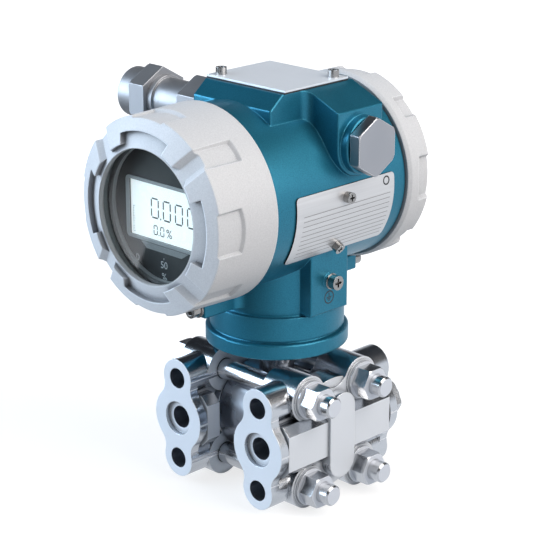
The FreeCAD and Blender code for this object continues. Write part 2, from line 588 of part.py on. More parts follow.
def flange_holes():
    """All that is drilled and bored in a flange."""
    tools = []
    for k, z in enumerate(HOLE_Z):
        tools.append(cylinder(f"front_tapping_{k}", "hole_bore / 2", "hole_depth", FLANGE_X, "0", z,
                              Y_AXIS))
        rear_y = "flange_depth - hole_depth"
        tools.append(cylinder(f"rear_tapping_{k}", "rear_hole_bore / 2", "hole_depth", FLANGE_X, rear_y,
                              z, Y_AXIS))
    tools.append(cylinder("front_port", "port_bore / 2", "port_depth", FLANGE_X, "0", "0", Y_AXIS))
    tools.append(cylinder("rear_port", "port_bore / 2", "port_depth", FLANGE_X,
                          "flange_depth - port_depth", "0", Y_AXIS))
    tools.append(cylinder("seal_recess", "seal_bore / 2", "seal_depth", FLANGE_X, "0", "0", Y_AXIS))
    tools.append(cylinder("duct", "duct_bore / 2", "flange_depth - 2 * hole_depth", FLANGE_X,
                          "hole_depth", "0", Y_AXIS))
    tools.append(cylinder("cross_duct", "duct_bore / 2", f"{FLANGE_X} - {INNER_X}", INNER_X, NECK_Y,
                          "0", X_AXIS))
    tools.append(cylinder("pressure_chamber", "chamber_radius", "chamber_depth", INNER_X, NECK_Y, "0",
                          X_AXIS))
    for k, (y, z) in enumerate(BOLTS):
        radius = "bolt_diameter / 2 + bolt_clearance"
        tools.append(cylinder(f"bolt_hole_{k}", radius, SEAT_X, "0", y, z, X_AXIS))
    return tools


high_flange = cut("high_side_flange", flange_casting(), flange_holes(), refine=False)
low_flange = mirror("low_side_flange", high_flange, X_AXIS)

# Flange bolts, nuts and washers: four through bolts with the heads on the low side.
bolts = []
nuts = []
washers = []
for k, (y, z) in enumerate(BOLTS):
    shank = cylinder(f"bolt_shank_{k}", "bolt_diameter / 2",
                     f"2 * {NUT_X} + nut_height + bolt_overhang - bolt_chamfer",
                     f"-{NUT_X}", y, z, X_AXIS)
    tip_x = f"{NUT_X} + nut_height + bolt_overhang - bolt_chamfer"
    tip = cone(f"bolt_tip_{k}", "bolt_diameter / 2", "bolt_diameter / 2 - bolt_chamfer", "bolt_chamfer",
               tip_x, y, z, X_AXIS)
    head = bevelled_hexagon(f"bolt_head_{k}", "nut_flats", "head_height", (f"-{NUT_X}", y, z),
                            Vector(-1, 0, 0), 90.0)
    bolts.append(fuse(f"bolt_{k}", (head, shank, tip)))
    blank = bevelled_hexagon(f"nut_blank_{k}", "nut_flats", "nut_height", (NUT_X, y, z), X_AXIS, 90.0)
    bore = cylinder(f"nut_bore_{k}", "bolt_diameter / 2 + thread_fit", "nut_height", NUT_X, y, z, X_AXIS)
    nuts.append(cut(f"nut_{k}", blank, [bore]))
    for side, x in (("high", SEAT_X), ("low", f"-{NUT_X}")):
        disc = cylinder(f"{side}_washer_disc_{k}", "washer_radius", "washer_height", x, y, z, X_AXIS)
        hole = cylinder(f"{side}_washer_hole_{k}", "bolt_diameter / 2 + thread_fit", "washer_height", x,
                        y, z, X_AXIS)
        washers.append(cut(f"{side}_washer_{k}", disc, [hole]))
flange_bolts = group("flange_bolts", bolts)
flange_nuts = group("flange_nuts", nuts)
flange_washers = group("flange_washers", washers)

# Pressure capsule with the tube that carries the housing.
capsule_drum = turned("capsule_drum", "XY_Plane", [
    ("-capsule_length / 2", "diaphragm_radius"), ("-capsule_length / 2", "capsule_radius"),
    ("capsule_length / 2", "capsule_radius"), ("capsule_length / 2", "diaphragm_radius"),
    ("capsule_length / 2 - diaphragm_recess", "diaphragm_radius"),
    ("capsule_length / 2 - diaphragm_recess", "0"),
    ("-capsule_length / 2 + diaphragm_recess", "0"), ("-capsule_length / 2 + diaphragm_recess",
                                                      "diaphragm_radius")],
    "H_Axis", "0", NECK_Y, "0")
neck_tube = cylinder("neck_tube", "neck_tube_radius", "neck_plug_bottom", "0", NECK_Y, "0")
neck_plug = cylinder("neck_plug", "neck_plug_radius", "neck_plug_top - neck_plug_bottom", "0", NECK_Y,
                     "neck_plug_bottom")
sensor_capsule = fuse("sensor_capsule", (capsule_drum, neck_tube, neck_plug))

# Isolating diaphragms: thin discs with two pressed rings, in the capsule's faces.
FACE_X = "(capsule_length / 2 - diaphragm_recess)"
DISC_X = f"({FACE_X} + diaphragm_wave)"
RIDGE_X = f"({FACE_X} + 2 * diaphragm_wave)"
diaphragm_disc = turned("diaphragm_disc", "XY_Plane", [
    (FACE_X, "0"), (DISC_X, "0"), (DISC_X, "diaphragm_inner - diaphragm_ridge"),
    (RIDGE_X, "diaphragm_inner"), (DISC_X, "diaphragm_inner + diaphragm_ridge"),
    (DISC_X, "diaphragm_outer - diaphragm_ridge"), (RIDGE_X, "diaphragm_outer"),
    (DISC_X, "diaphragm_outer + diaphragm_ridge"), (DISC_X, "diaphragm_radius"),
    (FACE_X, "diaphragm_radius")],
    "H_Axis", "0", NECK_Y, "0")
diaphragms = group("isolating_diaphragms", (diaphragm_disc, mirror("diaphragm_low", diaphragm_disc,
                                                                   X_AXIS)))

# Ring gaskets between the capsule and the flanges.
gasket_disc = cylinder("gasket_disc", "gasket_outer", "gasket_thickness", "capsule_length / 2", NECK_Y,
                       "0", X_AXIS)
gasket_hole = cylinder("gasket_hole", "gasket_inner", "gasket_thickness", "capsule_length / 2", NECK_Y,
                       "0", X_AXIS)
gasket = cut("gasket_high", gasket_disc, [gasket_hole])
capsule_gaskets = group("capsule_gaskets", (gasket, mirror("gasket_low", gasket, X_AXIS)))

# Vent valves in the rear ports: a hexagonal body with a stem that is turned to bleed.
vent_y = "flange_depth"
vent_hex = bevelled_hexagon("vent_hex", "vent_flats", "vent_length", (FLANGE_X, vent_y, "0"), Y_AXIS)
vent_thread = cylinder("vent_thread", "port_bore / 2 - thread_fit", "vent_stub", FLANGE_X,
                       "flange_depth - vent_stub", "0", Y_AXIS)
vent_hole = cylinder("vent_hole", "vent_stem_bore / 2 + thread_fit", "vent_stub + vent_length",
                     FLANGE_X, "flange_depth - vent_stub", "0", Y_AXIS)
high_vent_body = cut("high_vent_body", fuse("vent_blank", (vent_hex, vent_thread)), [vent_hole])
low_vent_body = mirror("low_vent_body", high_vent_body, X_AXIS)
stem_y = "flange_depth + vent_length + running_gap"
stem_head = bevelled_hexagon("stem_head", "vent_stem_flats", "vent_stem_length", (FLANGE_X, stem_y,
                                                                                  "0"), Y_AXIS)
stem_shank = cylinder("stem_shank", "vent_stem_bore / 2", "vent_stub + vent_length + running_gap",
                      FLANGE_X, "flange_depth - vent_stub", "0", Y_AXIS)
high_vent_stem = fuse("high_vent_stem", (stem_head, stem_shank))
low_vent_stem = mirror("low_vent_stem", high_vent_stem, X_AXIS)


def rounded(name, base, chosen):
    """A piece with some of its edges rounded; an edge is chosen by its middle."""
    doc.recompute()
    piece = doc.addObject("Part::Fillet", name)
    piece.Base = base
    edges = []
    for index, edge in enumerate(base.Shape.Edges, start=1):
        beside = base.Shape.ancestorsOfType(edge, Part.Face)[0]
        if not edge.isSeam(beside) and chosen(edge.CenterOfMass):
            edges.append((index, size("edge_round"), size("edge_round")))
    piece.Edges = edges
    return piece


def every_edge(middle):
    """Chooses all edges."""
    return True


def at_pad_face(middle):
    """Chooses the edges of the earthing pad's face, but not the one inside the barrel."""
    bore_z = size("barrel_height") - size("chamber_bore")
    return middle.x > size("neck_pad_reach") - size("edge_round") and middle.z < bore_z


def at_platform_front(middle):
    """Chooses the edges of the platform's front and of its bevel."""
    return middle.y < size("platform_front") + size("platform_bevel_y") + size("edge_round")


def at_boss_end(middle):
    """Chooses the edges of the conduit boss's two end faces above its axis."""
    axis_z = size("barrel_height") + size("conduit_z")
    return abs(middle.x) > size("boss_reach") - size("edge_round") and middle.z > axis_z


TOP_SCREWS = (("-top_screw_x", f"{NECK_Y} - top_screw_y"), ("top_screw_x", f"{NECK_Y} + top_screw_y"))
SIDE_SCREWS = ("(side_screw_upper - side_plate_top)",
               "(side_plate_angle - side_plate_top - side_screw_lower)")


def along_radius(piece, start, angle):
    """Turn a piece that runs along +Z outwards from the barrel's axis, at an angle below +X."""
    place(piece, f"({start}) * cos({angle})", NECK_Y, f"barrel_height - ({start}) * sin({angle})",
          turn_to(X_AXIS))
    piece.setExpression("Placement.Rotation.Angle", bind(f"90 + {angle}"))
    return piece


def radial(name, radius, start, length, angle):
    """A round bar that runs out from the barrel's axis at an angle below +X."""
    return along_radius(cylinder(name, radius, length), start, angle)


def round_cornered(name, low, across, up, depth, corner, axis):
    """A slab with four rounded corners, from its low corner. Its depth runs along +X or +Y."""
    along = (X_AXIS, Y_AXIS).index(axis)
    beside = 1 - along
    pieces = []
    for part, inset in (("wide", "0"), ("tall", corner)):
        start, extent = list(low), [depth, depth, f"{up} - 2 * ({corner} - {inset})"]
        start[beside] = f"{low[beside]} + {inset}"
        start[2] = f"{low[2]} + {corner} - {inset}"
        extent[beside] = f"{across} - 2 * {inset}"
        pieces.append(box(f"{name}_{part}", *start, *extent))
    for k, (side, rise) in enumerate(((corner, corner), (f"{across} - {corner}", corner),
                                      (corner, f"{up} - {corner}"), (f"{across} - {corner}",
                                                                     f"{up} - {corner}"))):
        middle = list(low)
        middle[beside] = f"{low[beside]} + {side}"
        middle[2] = f"{low[2]} + {rise}"
        pieces.append(cylinder(f"{name}_corner_{k}", corner, depth, *middle, axis))
    return fuse(name, pieces)


# Instrument housing: a round barrel with a chamber at each end, on a neck with a collar. A
# platform and a cross boss for the two cable entries stand on top of the barrel.
def housing_casting():
    """The housing before it is bored."""
    collar = cylinder("collar_bar", "collar_radius", "collar_height", "0", NECK_Y, "collar_bottom")
    parts = [rounded("collar", collar, every_edge)]
    neck_z = "collar_bottom + collar_height"
    parts.append(cylinder("groove_floor", "neck_radius - groove_depth", "groove_width", "0", NECK_Y,
                          neck_z))
    lower_z = f"{neck_z} + groove_width"
    parts.append(cylinder("lower_neck", "neck_radius", f"neck_step - ({lower_z})", "0", NECK_Y, lower_z))
    parts.append(cylinder("upper_neck", "neck_radius - neck_step_depth", "barrel_height - neck_step",
                          "0", NECK_Y, "neck_step"))
    pad_height = f"{SIDE_LOW} - side_plate_thickness - {PAD_BOTTOM}"
    pad = box("neck_pad_block", "0", f"{NECK_Y} - neck_pad_half", PAD_BOTTOM,
              "neck_pad_reach", "2 * neck_pad_half", pad_height)
    parts.append(rounded("neck_pad", pad, at_pad_face))
    parts.append(cylinder("earth_boss", "earth_boss_radius", "earth_boss_rise", "neck_pad_reach",
                          NECK_Y, EARTH_Z, X_AXIS))
    barrel = cylinder("barrel_bar", "barrel_radius", "barrel_length", "0", "-barrel_front",
                      "barrel_height", Y_AXIS)
    parts.append(rounded("barrel", barrel, every_edge))
    parts.append(cylinder("front_spigot", "spigot_radius", "front_spigot", "0",
                          "-barrel_front - front_spigot",
                          "barrel_height", Y_AXIS))
    parts.append(cylinder("rear_spigot", "spigot_radius", "rear_spigot", "0", BARREL_REAR,
                          "barrel_height", Y_AXIS))
    rear = "conduit_y + boss_half"
    profile = [(rear, "barrel_height"), (rear, PLATFORM_Z),
               ("platform_front + platform_bevel_y", PLATFORM_Z),
               ("platform_front", f"{PLATFORM_Z} - platform_bevel_z"), ("platform_front", "barrel_height")]
    platform = padded("platform_block", "YZ_Plane", profile, "2 * platform_half", midplane=True)
    parts.append(rounded("platform", platform, at_platform_front))
    shoulders = [("boss_reach", CONDUIT_Z), ("boss_reach", BOSS_Z), ("platform_half", PLATFORM_Z),
                 ("-platform_half", PLATFORM_Z), ("-boss_reach", BOSS_Z), ("-boss_reach", CONDUIT_Z)]
    boss_y = "(conduit_y - boss_half)"
    block = padded("shoulder_block", "XZ_Plane", shoulders, "2 * boss_half", "0", boss_y, "0", reverse=True)
    parts.append(rounded("shoulders", block, at_boss_end))
    hollow_y = f"({boss_y} - boss_fillet)"
    sloped = padded("shoulder_slope", "XZ_Plane", shoulders, "2 * boss_half", "0", hollow_y, "0",
                    reverse=True)
    for side, x, roller_x in (("high", "platform_half", "platform_half + boss_fillet"),
                              ("low", "-platform_half - boss_fillet", "-platform_half - boss_fillet")):
        corner = box(f"{side}_corner", x, hollow_y, CONDUIT_Z, "boss_fillet", "boss_fillet",
                     "2 * boss_half")
        roller = cylinder(f"{side}_roller", "boss_fillet", "2 * boss_half", roller_x, hollow_y, CONDUIT_Z)
        parts.append(common(f"{side}_hollow", (cut(f"{side}_filler", corner, [roller]), sloped)))
    boss = cylinder("conduit_boss_bar", "boss_half", "2 * boss_reach", "-boss_reach", "conduit_y",
                    CONDUIT_Z, X_AXIS)
    parts.append(rounded("conduit_boss", boss, every_edge))
    ring = cylinder("conduit_ring_bar", "ring_radius", f"2 * {RING_X}", f"-{RING_X}", "conduit_y",
                    CONDUIT_Z, X_AXIS)
    parts.append(rounded("conduit_ring", ring, every_edge))
    lug_y = f"({NECK_Y} - lug_reach)"
    lug_height = "lug_bottom"
    lugs = box("lug_bar", "-lug_half", lug_y, LUG_BOTTOM, "2 * lug_half", "2 * lug_reach", lug_height)
    parts.append(rounded("lugs", lugs, every_edge))
    radius = "(neck_radius - neck_step_depth)"
    hollow_x = "(lug_half + lug_hollow)"
    hollow_y = f"sqrt(({radius} + lug_hollow)^2 - {hollow_x}^2)"
    corner_x = f"({hollow_x} * {radius} / ({radius} + lug_hollow))"
    corners = box("lug_corners", f"-{corner_x}", f"{NECK_Y} - {hollow_y}", LUG_BOTTOM,
                  f"2 * {corner_x}", f"2 * {hollow_y}", lug_height)
    rollers = [cylinder(f"lug_roller_{k}", "lug_hollow", lug_height, f"{x} * {hollow_x}",
                        f"{NECK_Y} + {y} * {hollow_y}", LUG_BOTTOM)
               for k, (x, y) in enumerate(((1, 1), (-1, 1), (-1, -1), (1, -1)))]
    parts.append(cut("lug_feet", corners, rollers))
    parts.append(box("lug_riser", "-lug_half", "-barrel_front", LUG_TOP, "2 * lug_half", "barrel_length",
                     f"barrel_height - chamber_bore - {LUG_TOP}"))
    return fuse("housing_casting", parts)


def housing_bores():
    """All that is bored and drilled in the housing."""
    front = "-barrel_front - front_spigot"
    tools = [cylinder("chambers", "chamber_bore", f"{BARREL_REAR} + rear_spigot - ({front})", "0", front,
                      "barrel_height", Y_AXIS)]
    tools.append(cylinder("conduit_bores", "conduit_bore / 2", f"2 * {RING_X}", f"-{RING_X}",
                          "conduit_y", CONDUIT_Z, X_AXIS))
    tools.append(cylinder("neck_bore", "neck_plug_radius + turn_clearance",
                          "neck_plug_top - collar_bottom + running_gap", "0", NECK_Y, "collar_bottom"))
    tools.append(cylinder("cable_duct", "cable_duct_radius", "barrel_height - neck_plug_top",
                          "0", "cable_duct_y", "neck_plug_top"))
    for k, y in enumerate(("-barrel_front - seal_offset", f"{BARREL_REAR} + seal_offset")):
        wide = cylinder(f"seal_groove_outer_{k}", "seal_land", "2 * seal_section", "0",
                        f"{y} - seal_section", "barrel_height", Y_AXIS)
        narrow = cylinder(f"seal_groove_floor_{k}", "seal_land - thread_fit - 2 * seal_section",
                          "2 * seal_section",
                          "0", f"{y} - seal_section", "barrel_height", Y_AXIS)
        tools.append(cut(f"seal_groove_{k}", wide, [narrow]))
    radius = "lock_shank_radius + screw_fit"
    tools.append(cylinder("front_lock_hole", radius, "lock_shank_length", "0", f"{NECK_Y} - lug_reach",
                          LOCK_Z, Y_AXIS))
    tools.append(cylinder("rear_lock_hole", radius, "lock_shank_length", "0",
                          f"{NECK_Y} + lug_reach - lock_shank_length", LOCK_Z, Y_AXIS))
    plate_hole = "plate_screw_shank + screw_fit"
    for k, (x, y) in enumerate(TOP_SCREWS):
        tools.append(cylinder(f"top_screw_hole_{k}", plate_hole, "plate_screw_length", x, y,
                              f"{PLATFORM_Z} - plate_screw_length"))
    for k, angle in enumerate(SIDE_SCREWS):
        tools.append(radial(f"side_screw_hole_{k}", plate_hole, "barrel_radius - plate_screw_length",
                            "plate_screw_length", angle))
    earth_x = "neck_pad_reach + earth_boss_rise - plate_screw_length"
    tools.append(cylinder("earth_hole", "earth_shank + screw_fit", "plate_screw_length", earth_x,
                          NECK_Y, EARTH_Z, X_AXIS))
    tools.append(cylinder("set_screw_hole", "set_screw_radius + screw_fit", "collar_radius",
                          "-collar_radius", NECK_Y,
                          "set_screw_z", X_AXIS))
    return tools


housing = cut("housing", housing_casting(), housing_bores())

# Wall between the two chambers: a disc that closes the housing's bore behind the electronics.
wall_disc = cylinder("wall_disc", "chamber_bore - thread_fit", "partition_thickness", "0",
                     "partition_front",
                     "barrel_height", Y_AXIS)
wall_hole = cylinder("inner_earth_hole", "plate_screw_shank + screw_fit", "partition_thickness",
                     "-inner_earth_x",
                     "partition_front", INNER_EARTH_Z, Y_AXIS)
chamber_wall = cut("chamber_wall", wall_disc, [wall_hole])


def widening_block(name, across, up, along, rotation):
    """A block that widens as it rises. The pairs give its half width, its height and the far end
    of its length at its narrow and its wide side; its near end is square."""
    piece = doc.addObject("Part::Wedge", name)
    for key, text in (("Xmin", f"-({across[0]})"), ("Xmax", across[0]), ("X2min", f"-({across[1]})"),
                      ("X2max", across[1]),
                      ("Ymin", up[0]), ("Ymax", up[1]), ("Zmin", along[0]), ("Z2min", along[0]),
                      ("Zmax", along[1]), ("Z2max", along[2])):
        piece.setExpression(key, bind(text))
    piece.Placement.Rotation = rotation
    return piece


def washer_disc(name, outer, inner, height, x, y, z, axis):
    """A flat ring."""
    disc = cylinder(name + "_disc", outer, height, x, y, z, axis)
    return cut(name, disc, [cylinder(name + "_hole", inner, height, x, y, z, axis)])


def key_socket(name, head, height, x, y, z, axis):
    """The hexagonal hole in the top half of a screw head."""
    middle = [f"{start} + ({height}) / 2 * {int(step)}" for start, step in zip((x, y, z), axis)]
    return hexagon(name, f"2 * key_part * {head}", height, *middle, axis)


def cross_recess(name, head, height, rotation):
    """The two crossing slots in the top half of a screw head."""
    reach = f"({head}) * cross_reach"
    width = f"({head}) * cross_width"
    arms = [widening_block(f"{name}_{k}", (a, a), (f"-({b})", b), (f"({height}) / 2", height, height),
                           rotation)
            for k, (a, b) in enumerate(((reach, width), (width, reach)))]
    return fuse(name, arms)


def small_screw(name, head, height, shank, length, x, y, z, axis):
    """A small screw with a round head and a cross recess, from the underside of its head."""
    top = cylinder(name + "_head", head, height, x, y, z, axis)
    back = [f"{start} - ({length}) * {int(step)}" for start, step in zip((x, y, z), axis)]
    blank = fuse(name + "_blank", (top, cylinder(name + "_shank", shank, length, *back, axis)))
    recess = cross_recess(name + "_recess", head, height, FreeCAD.Rotation())
    return cut(name, blank, [place(recess, x, y, z, turn_to(axis))])


# Cover locks: a cap screw with a washer in each lug.
def lock_screw(name, y, axis):
    """A cap screw with a hexagonal socket, from the face of its lug."""
    seat = f"{y} + lock_washer_height * {int(axis.y)}"
    root = f"{y} - lock_shank_length * {int(axis.y)}"
    head = cylinder(name + "_head", "lock_head_radius", "lock_head_height", "0", seat, LOCK_Z, axis)
    shank = cylinder(name + "_shank", "lock_shank_radius", "lock_shank_length + lock_washer_height",
                     "0", root, LOCK_Z, axis)
    key = key_socket(name + "_key", "lock_head_radius", "lock_head_height", "0", seat, LOCK_Z, axis)
    return cut(name, fuse(name + "_blank", (head, shank)), [key])


BACKWARD = Vector(0, -1, 0)
FRONT_LUG = f"({NECK_Y} - lug_reach)"
REAR_LUG = f"({NECK_Y} + lug_reach)"
lock_screws = group("lock_screws", (lock_screw("front_lock_screw", FRONT_LUG, BACKWARD),
                                    lock_screw("rear_lock_screw", REAR_LUG, Y_AXIS)))
lock_washers = group("lock_washers", (
    washer_disc("front_lock_washer", "lock_washer_radius", "lock_shank_radius + screw_fit",
                "lock_washer_height",
                "0", FRONT_LUG, LOCK_Z, BACKWARD),
    washer_disc("rear_lock_washer", "lock_washer_radius", "lock_shank_radius + screw_fit",
                "lock_washer_height",
                "0", REAR_LUG, LOCK_Z, Y_AXIS)))

# Set screw that stops the housing from swivelling.
set_screw_blank = cylinder("set_screw_blank", "set_screw_radius", "set_screw_length",
                           "-neck_plug_radius - running_gap - set_screw_length", NECK_Y, "set_screw_z",
                           X_AXIS)
set_screw_key = hexagon("set_screw_key", "set_screw_radius", "set_screw_radius",
                        "-neck_plug_radius - running_gap - set_screw_length", NECK_Y, "set_screw_z", X_AXIS)
set_screw = cut("set_screw", set_screw_blank, [set_screw_key])

# Earthing screw on the neck.
EARTH_X = "(neck_pad_reach + earth_boss_rise)"
earth_washer = washer_disc("earth_washer", "earth_washer_radius", "earth_shank + screw_fit",
                           "earth_washer_height",
                           EARTH_X, NECK_Y, EARTH_Z, X_AXIS)
earth_screw = small_screw("earth_screw", "earth_head", "earth_head_height", "earth_shank",
                          "plate_screw_length + earth_washer_height",
                        f"{EARTH_X} + earth_washer_height", NECK_Y, EARTH_Z, X_AXIS)

# Name plates: a flat one with a dark underlay on the platform, a curved one on the barrel's side.
def plate_blank(name, z, thickness):
    """A flat plate on the platform with a hole for each of its screws."""
    blank = box(name + "_blank", "-top_plate_half_x", f"{NECK_Y} - top_plate_half_y", z,
                "2 * top_plate_half_x", "2 * top_plate_half_y", thickness)
    holes = [cylinder(f"{name}_hole_{k}", "plate_screw_shank + screw_fit", thickness, x, y, z)
             for k, (x, y) in enumerate(TOP_SCREWS)]
    return cut(name, blank, holes)


top_underlay = plate_blank("top_underlay", PLATFORM_Z, "underlay_thickness")
top_plate = plate_blank("top_plate", f"{PLATFORM_Z} + underlay_thickness", "plate_thickness")
plate_top = f"{PLATFORM_Z} + underlay_thickness + plate_thickness"
top_plate_screws = group("top_plate_screws", [
    small_screw(f"top_plate_screw_{k}", "plate_screw_head", "plate_screw_height", "plate_screw_shank",
              "plate_screw_length + underlay_thickness + plate_thickness", x, y, plate_top, Z_AXIS)
    for k, (x, y) in enumerate(TOP_SCREWS)])

plate_radius = "barrel_radius + side_plate_thickness"
side_disc = cylinder("side_disc", plate_radius, "2 * side_plate_half", "0", f"{NECK_Y} - side_plate_half",
                     "barrel_height", Y_AXIS)
side_core = cylinder("side_core", "barrel_radius", "2 * side_plate_half", "0",
                     f"{NECK_Y} - side_plate_half",
                     "barrel_height", Y_AXIS)
side_height = "barrel_radius * (sin(side_plate_top) + sin(side_plate_angle - side_plate_top))"
side_shape = round_cornered("side_shape", ("0", f"{NECK_Y} - side_plate_half", SIDE_LOW),
                            "2 * side_plate_half",
                            side_height, "2 * barrel_radius", "side_plate_corner", X_AXIS)
side_holes = [radial(f"side_plate_hole_{k}", "plate_screw_shank + screw_fit", "barrel_radius / 2",
                     "barrel_radius",
                     angle) for k, angle in enumerate(SIDE_SCREWS)]
side_plate = cut("side_plate", common("side_plate_shell", (cut("side_shell", side_disc, [side_core]),
                                                           side_shape)),
                 side_holes)
side_screws = []
for k, angle in enumerate(SIDE_SCREWS):
    head = radial(f"side_screw_head_{k}", "plate_screw_head", plate_radius, "plate_screw_height", angle)
    shank = radial(f"side_screw_shank_{k}", "plate_screw_shank", "barrel_radius - plate_screw_length",
                   "plate_screw_length + side_plate_thickness", angle)
    recess = cross_recess(f"side_screw_recess_{k}", "plate_screw_head", "plate_screw_height",
                          FreeCAD.Rotation())
    along_radius(recess, plate_radius, angle)
    side_screws.append(cut(f"side_plate_screw_{k}", fuse(f"side_screw_blank_{k}", (head, shank)), [recess]))
side_plate_screws = group("side_plate_screws", side_screws)

# Conduit plug at +X.
plug_seal = washer_disc("conduit_plug_seal", "plug_flats / 2 - plug_bevel", "conduit_bore / 2",
                        "washer_seal",
                        RING_X, "conduit_y", CONDUIT_Z, X_AXIS)
plug_head = bevelled_hexagon("plug_head_hexagon", "plug_flats", "plug_head",
                             (f"{RING_X} + washer_seal", "conduit_y", CONDUIT_Z), X_AXIS)
plug_thread = cylinder("plug_thread", "conduit_bore / 2 - thread_fit", "stub_length + washer_seal",
                       f"{RING_X} - stub_length", "conduit_y", CONDUIT_Z, X_AXIS)
conduit_plug = fuse("conduit_plug", (plug_head, plug_thread))

# Cable gland at -X: a seal, a body that screws into the entry, a cap nut and its rubber sleeve.
LEFTWARD = Vector(-1, 0, 0)
GLAND_FACE = f"({RING_X} + gland_washer_height)"
GLAND_TUBE = f"({GLAND_FACE} + gland_hex_length)"
GLAND_RING = f"({GLAND_TUBE} + gland_tube_length)"
GLAND_NUT = f"({GLAND_RING} + gland_ring_length)"
GLAND_CAP = f"({GLAND_NUT} + gland_nut_length)"
GLAND_SLEEVE = f"({GLAND_NUT} + gland_thread_length)"


def along_gland(name, radius, start, length):
    """A round bar on the gland's axis, running outwards."""
    return cylinder(name, radius, length, f"-{start}", "conduit_y", CONDUIT_Z, LEFTWARD)


gland_washer = washer_disc("gland_washer", "ring_radius", "conduit_bore / 2", "gland_washer_height",
                           f"-{RING_X}", "conduit_y", CONDUIT_Z, LEFTWARD)
gland_hex = bevelled_hexagon("gland_hexagon", "gland_hex_flats", "gland_hex_length",
                             (f"-{GLAND_FACE}", "conduit_y", CONDUIT_Z), LEFTWARD)
gland_stub = along_gland("gland_stub", "conduit_bore / 2 - thread_fit", f"({RING_X} - stub_length)",
                         "stub_length + gland_washer_height")
gland_blank = fuse("gland_blank", (gland_hex, gland_stub,
                                   along_gland("gland_tube", "gland_tube_radius", GLAND_TUBE,
                                               "gland_tube_length"),
                                   along_gland("gland_ring", "gland_ring_radius", GLAND_RING,
                                               "gland_ring_length"),
                                   along_gland("gland_thread", "gland_thread_radius", GLAND_NUT,
                                               "gland_thread_length")))
gland_body = cut("gland_body", gland_blank, [along_gland("gland_passage", "gland_bore / 2",
                                                         f"({RING_X} - stub_length)", "2 * barrel_radius")])
gland_nut_hex = bevelled_hexagon("gland_nut_hexagon", "gland_nut_flats", "gland_nut_length",
                                 (f"-{GLAND_NUT}", "conduit_y", CONDUIT_Z), LEFTWARD)
gland_nut_blank = fuse("gland_nut_blank", (gland_nut_hex, along_gland("gland_cap", "gland_cap_radius",
                                                                      GLAND_CAP, "gland_cap_length")))
sleeve_length = "(gland_nut_length + gland_cap_length / 2 - gland_thread_length)"
gland_nut = cut("gland_nut", gland_nut_blank, [
    along_gland("gland_nut_thread", "gland_thread_radius + thread_fit", GLAND_NUT, "gland_thread_length"),
    along_gland("gland_nut_seat", "gland_seal_radius", GLAND_SLEEVE, sleeve_length),
    along_gland("gland_nut_mouth", "gland_bore / 2", GLAND_NUT, "gland_nut_length + gland_cap_length")])
gland_sleeve = cut("gland_sleeve", along_gland("gland_sleeve_disc", "gland_seal_radius", GLAND_SLEEVE,
                                               sleeve_length),
                   [along_gland("gland_sleeve_hole", "gland_seal_bore / 2", GLAND_SLEEVE, sleeve_length)])

# Front cover: a turned ring with a window. Its face has four raised sectors with a recess
# towards the window in each, and its side has eight grip pockets.
THREAD_REAR = f"({COVER_RIM} - seal_land_length)"
THREAD_FRONT = f"({THREAD_REAR} - thread_length)"
SEAT_REAR = f"({SEAT_FRONT} + seat_depth)"
side_radius = "(cover_radius - cover_draft)"
FLOOR_CORNER = f"({COVER_CORNER} + sector_height)"
cover_ring = turned("cover_ring", "XY_Plane", [
    ("seal_land", COVER_RIM), ("cover_radius", COVER_RIM), (side_radius, FLOOR_CORNER),
    ("window_radius", LIP_FRONT),
    ("window_radius", SEAT_FRONT), ("seat_radius", SEAT_FRONT), ("seat_radius", SEAT_REAR),
    ("inner_bore", SEAT_REAR),
    ("inner_bore", THREAD_FRONT), ("spigot_radius + thread_clearance", THREAD_FRONT),
    ("spigot_radius + thread_clearance", THREAD_REAR), ("seal_land", THREAD_REAR)],
    "V_Axis", "0", "0", "barrel_height")
sector_ring = turned("sector_ring", "XY_Plane", [
    (side_radius, f"{FLOOR_CORNER} + sector_root"), (side_radius, COVER_CORNER),
    ("sector_inner", f"{COVER_CORNER} - face_rise"), ("sector_inner",
                                                      f"{FLOOR_CORNER} - face_rise + sector_root")],
    "V_Axis", "0", "0", "barrel_height")
QUARTERS = (0, 90, 180, 270)
DIAGONALS = (45, 135, 225, 315)
recess_y = f"({COVER_CORNER} - face_rise - tool_margin)"
recesses = [pie(f"recess_{turn}", "recess_outer", "cover_side", recess_y, "barrel_height", turn,
                "recess_angle")
            for turn in QUARTERS]


FACE_SLOPE = math.atan2(size("face_rise"),
                        size("cover_radius") - size("cover_draft") - size("sector_inner"))
notches = []
for turn in DIAGONALS:
    radius = FreeCAD.Rotation(Y_AXIS, -turn).multVec(X_AXIS)
    outward = radius * math.cos(FACE_SLOPE) + Y_AXIS * math.sin(FACE_SLOPE)
    upward = radius * math.sin(FACE_SLOPE) - Y_AXIS * math.cos(FACE_SLOPE)
    notch = widening_block(f"notch_{turn}", ("notch_width / 2", "notch_width / 2 + tool_margin"),
                           ("0", "tool_margin"),
                           ("-cover_radius / 2", "sector_height", "sector_height"),
                           FreeCAD.Rotation(upward.cross(outward), upward, outward, "YZX"))
    notch.setExpression("Placement.Base.x", bind(f"{side_radius} * cos({turn})"))
    notch.setExpression("Placement.Base.y", bind(FLOOR_CORNER))
    notch.setExpression("Placement.Base.z", bind(f"barrel_height + {side_radius} * sin({turn})"))
    notches.append(notch)
sectors = cut("sectors", sector_ring, recesses + notches)


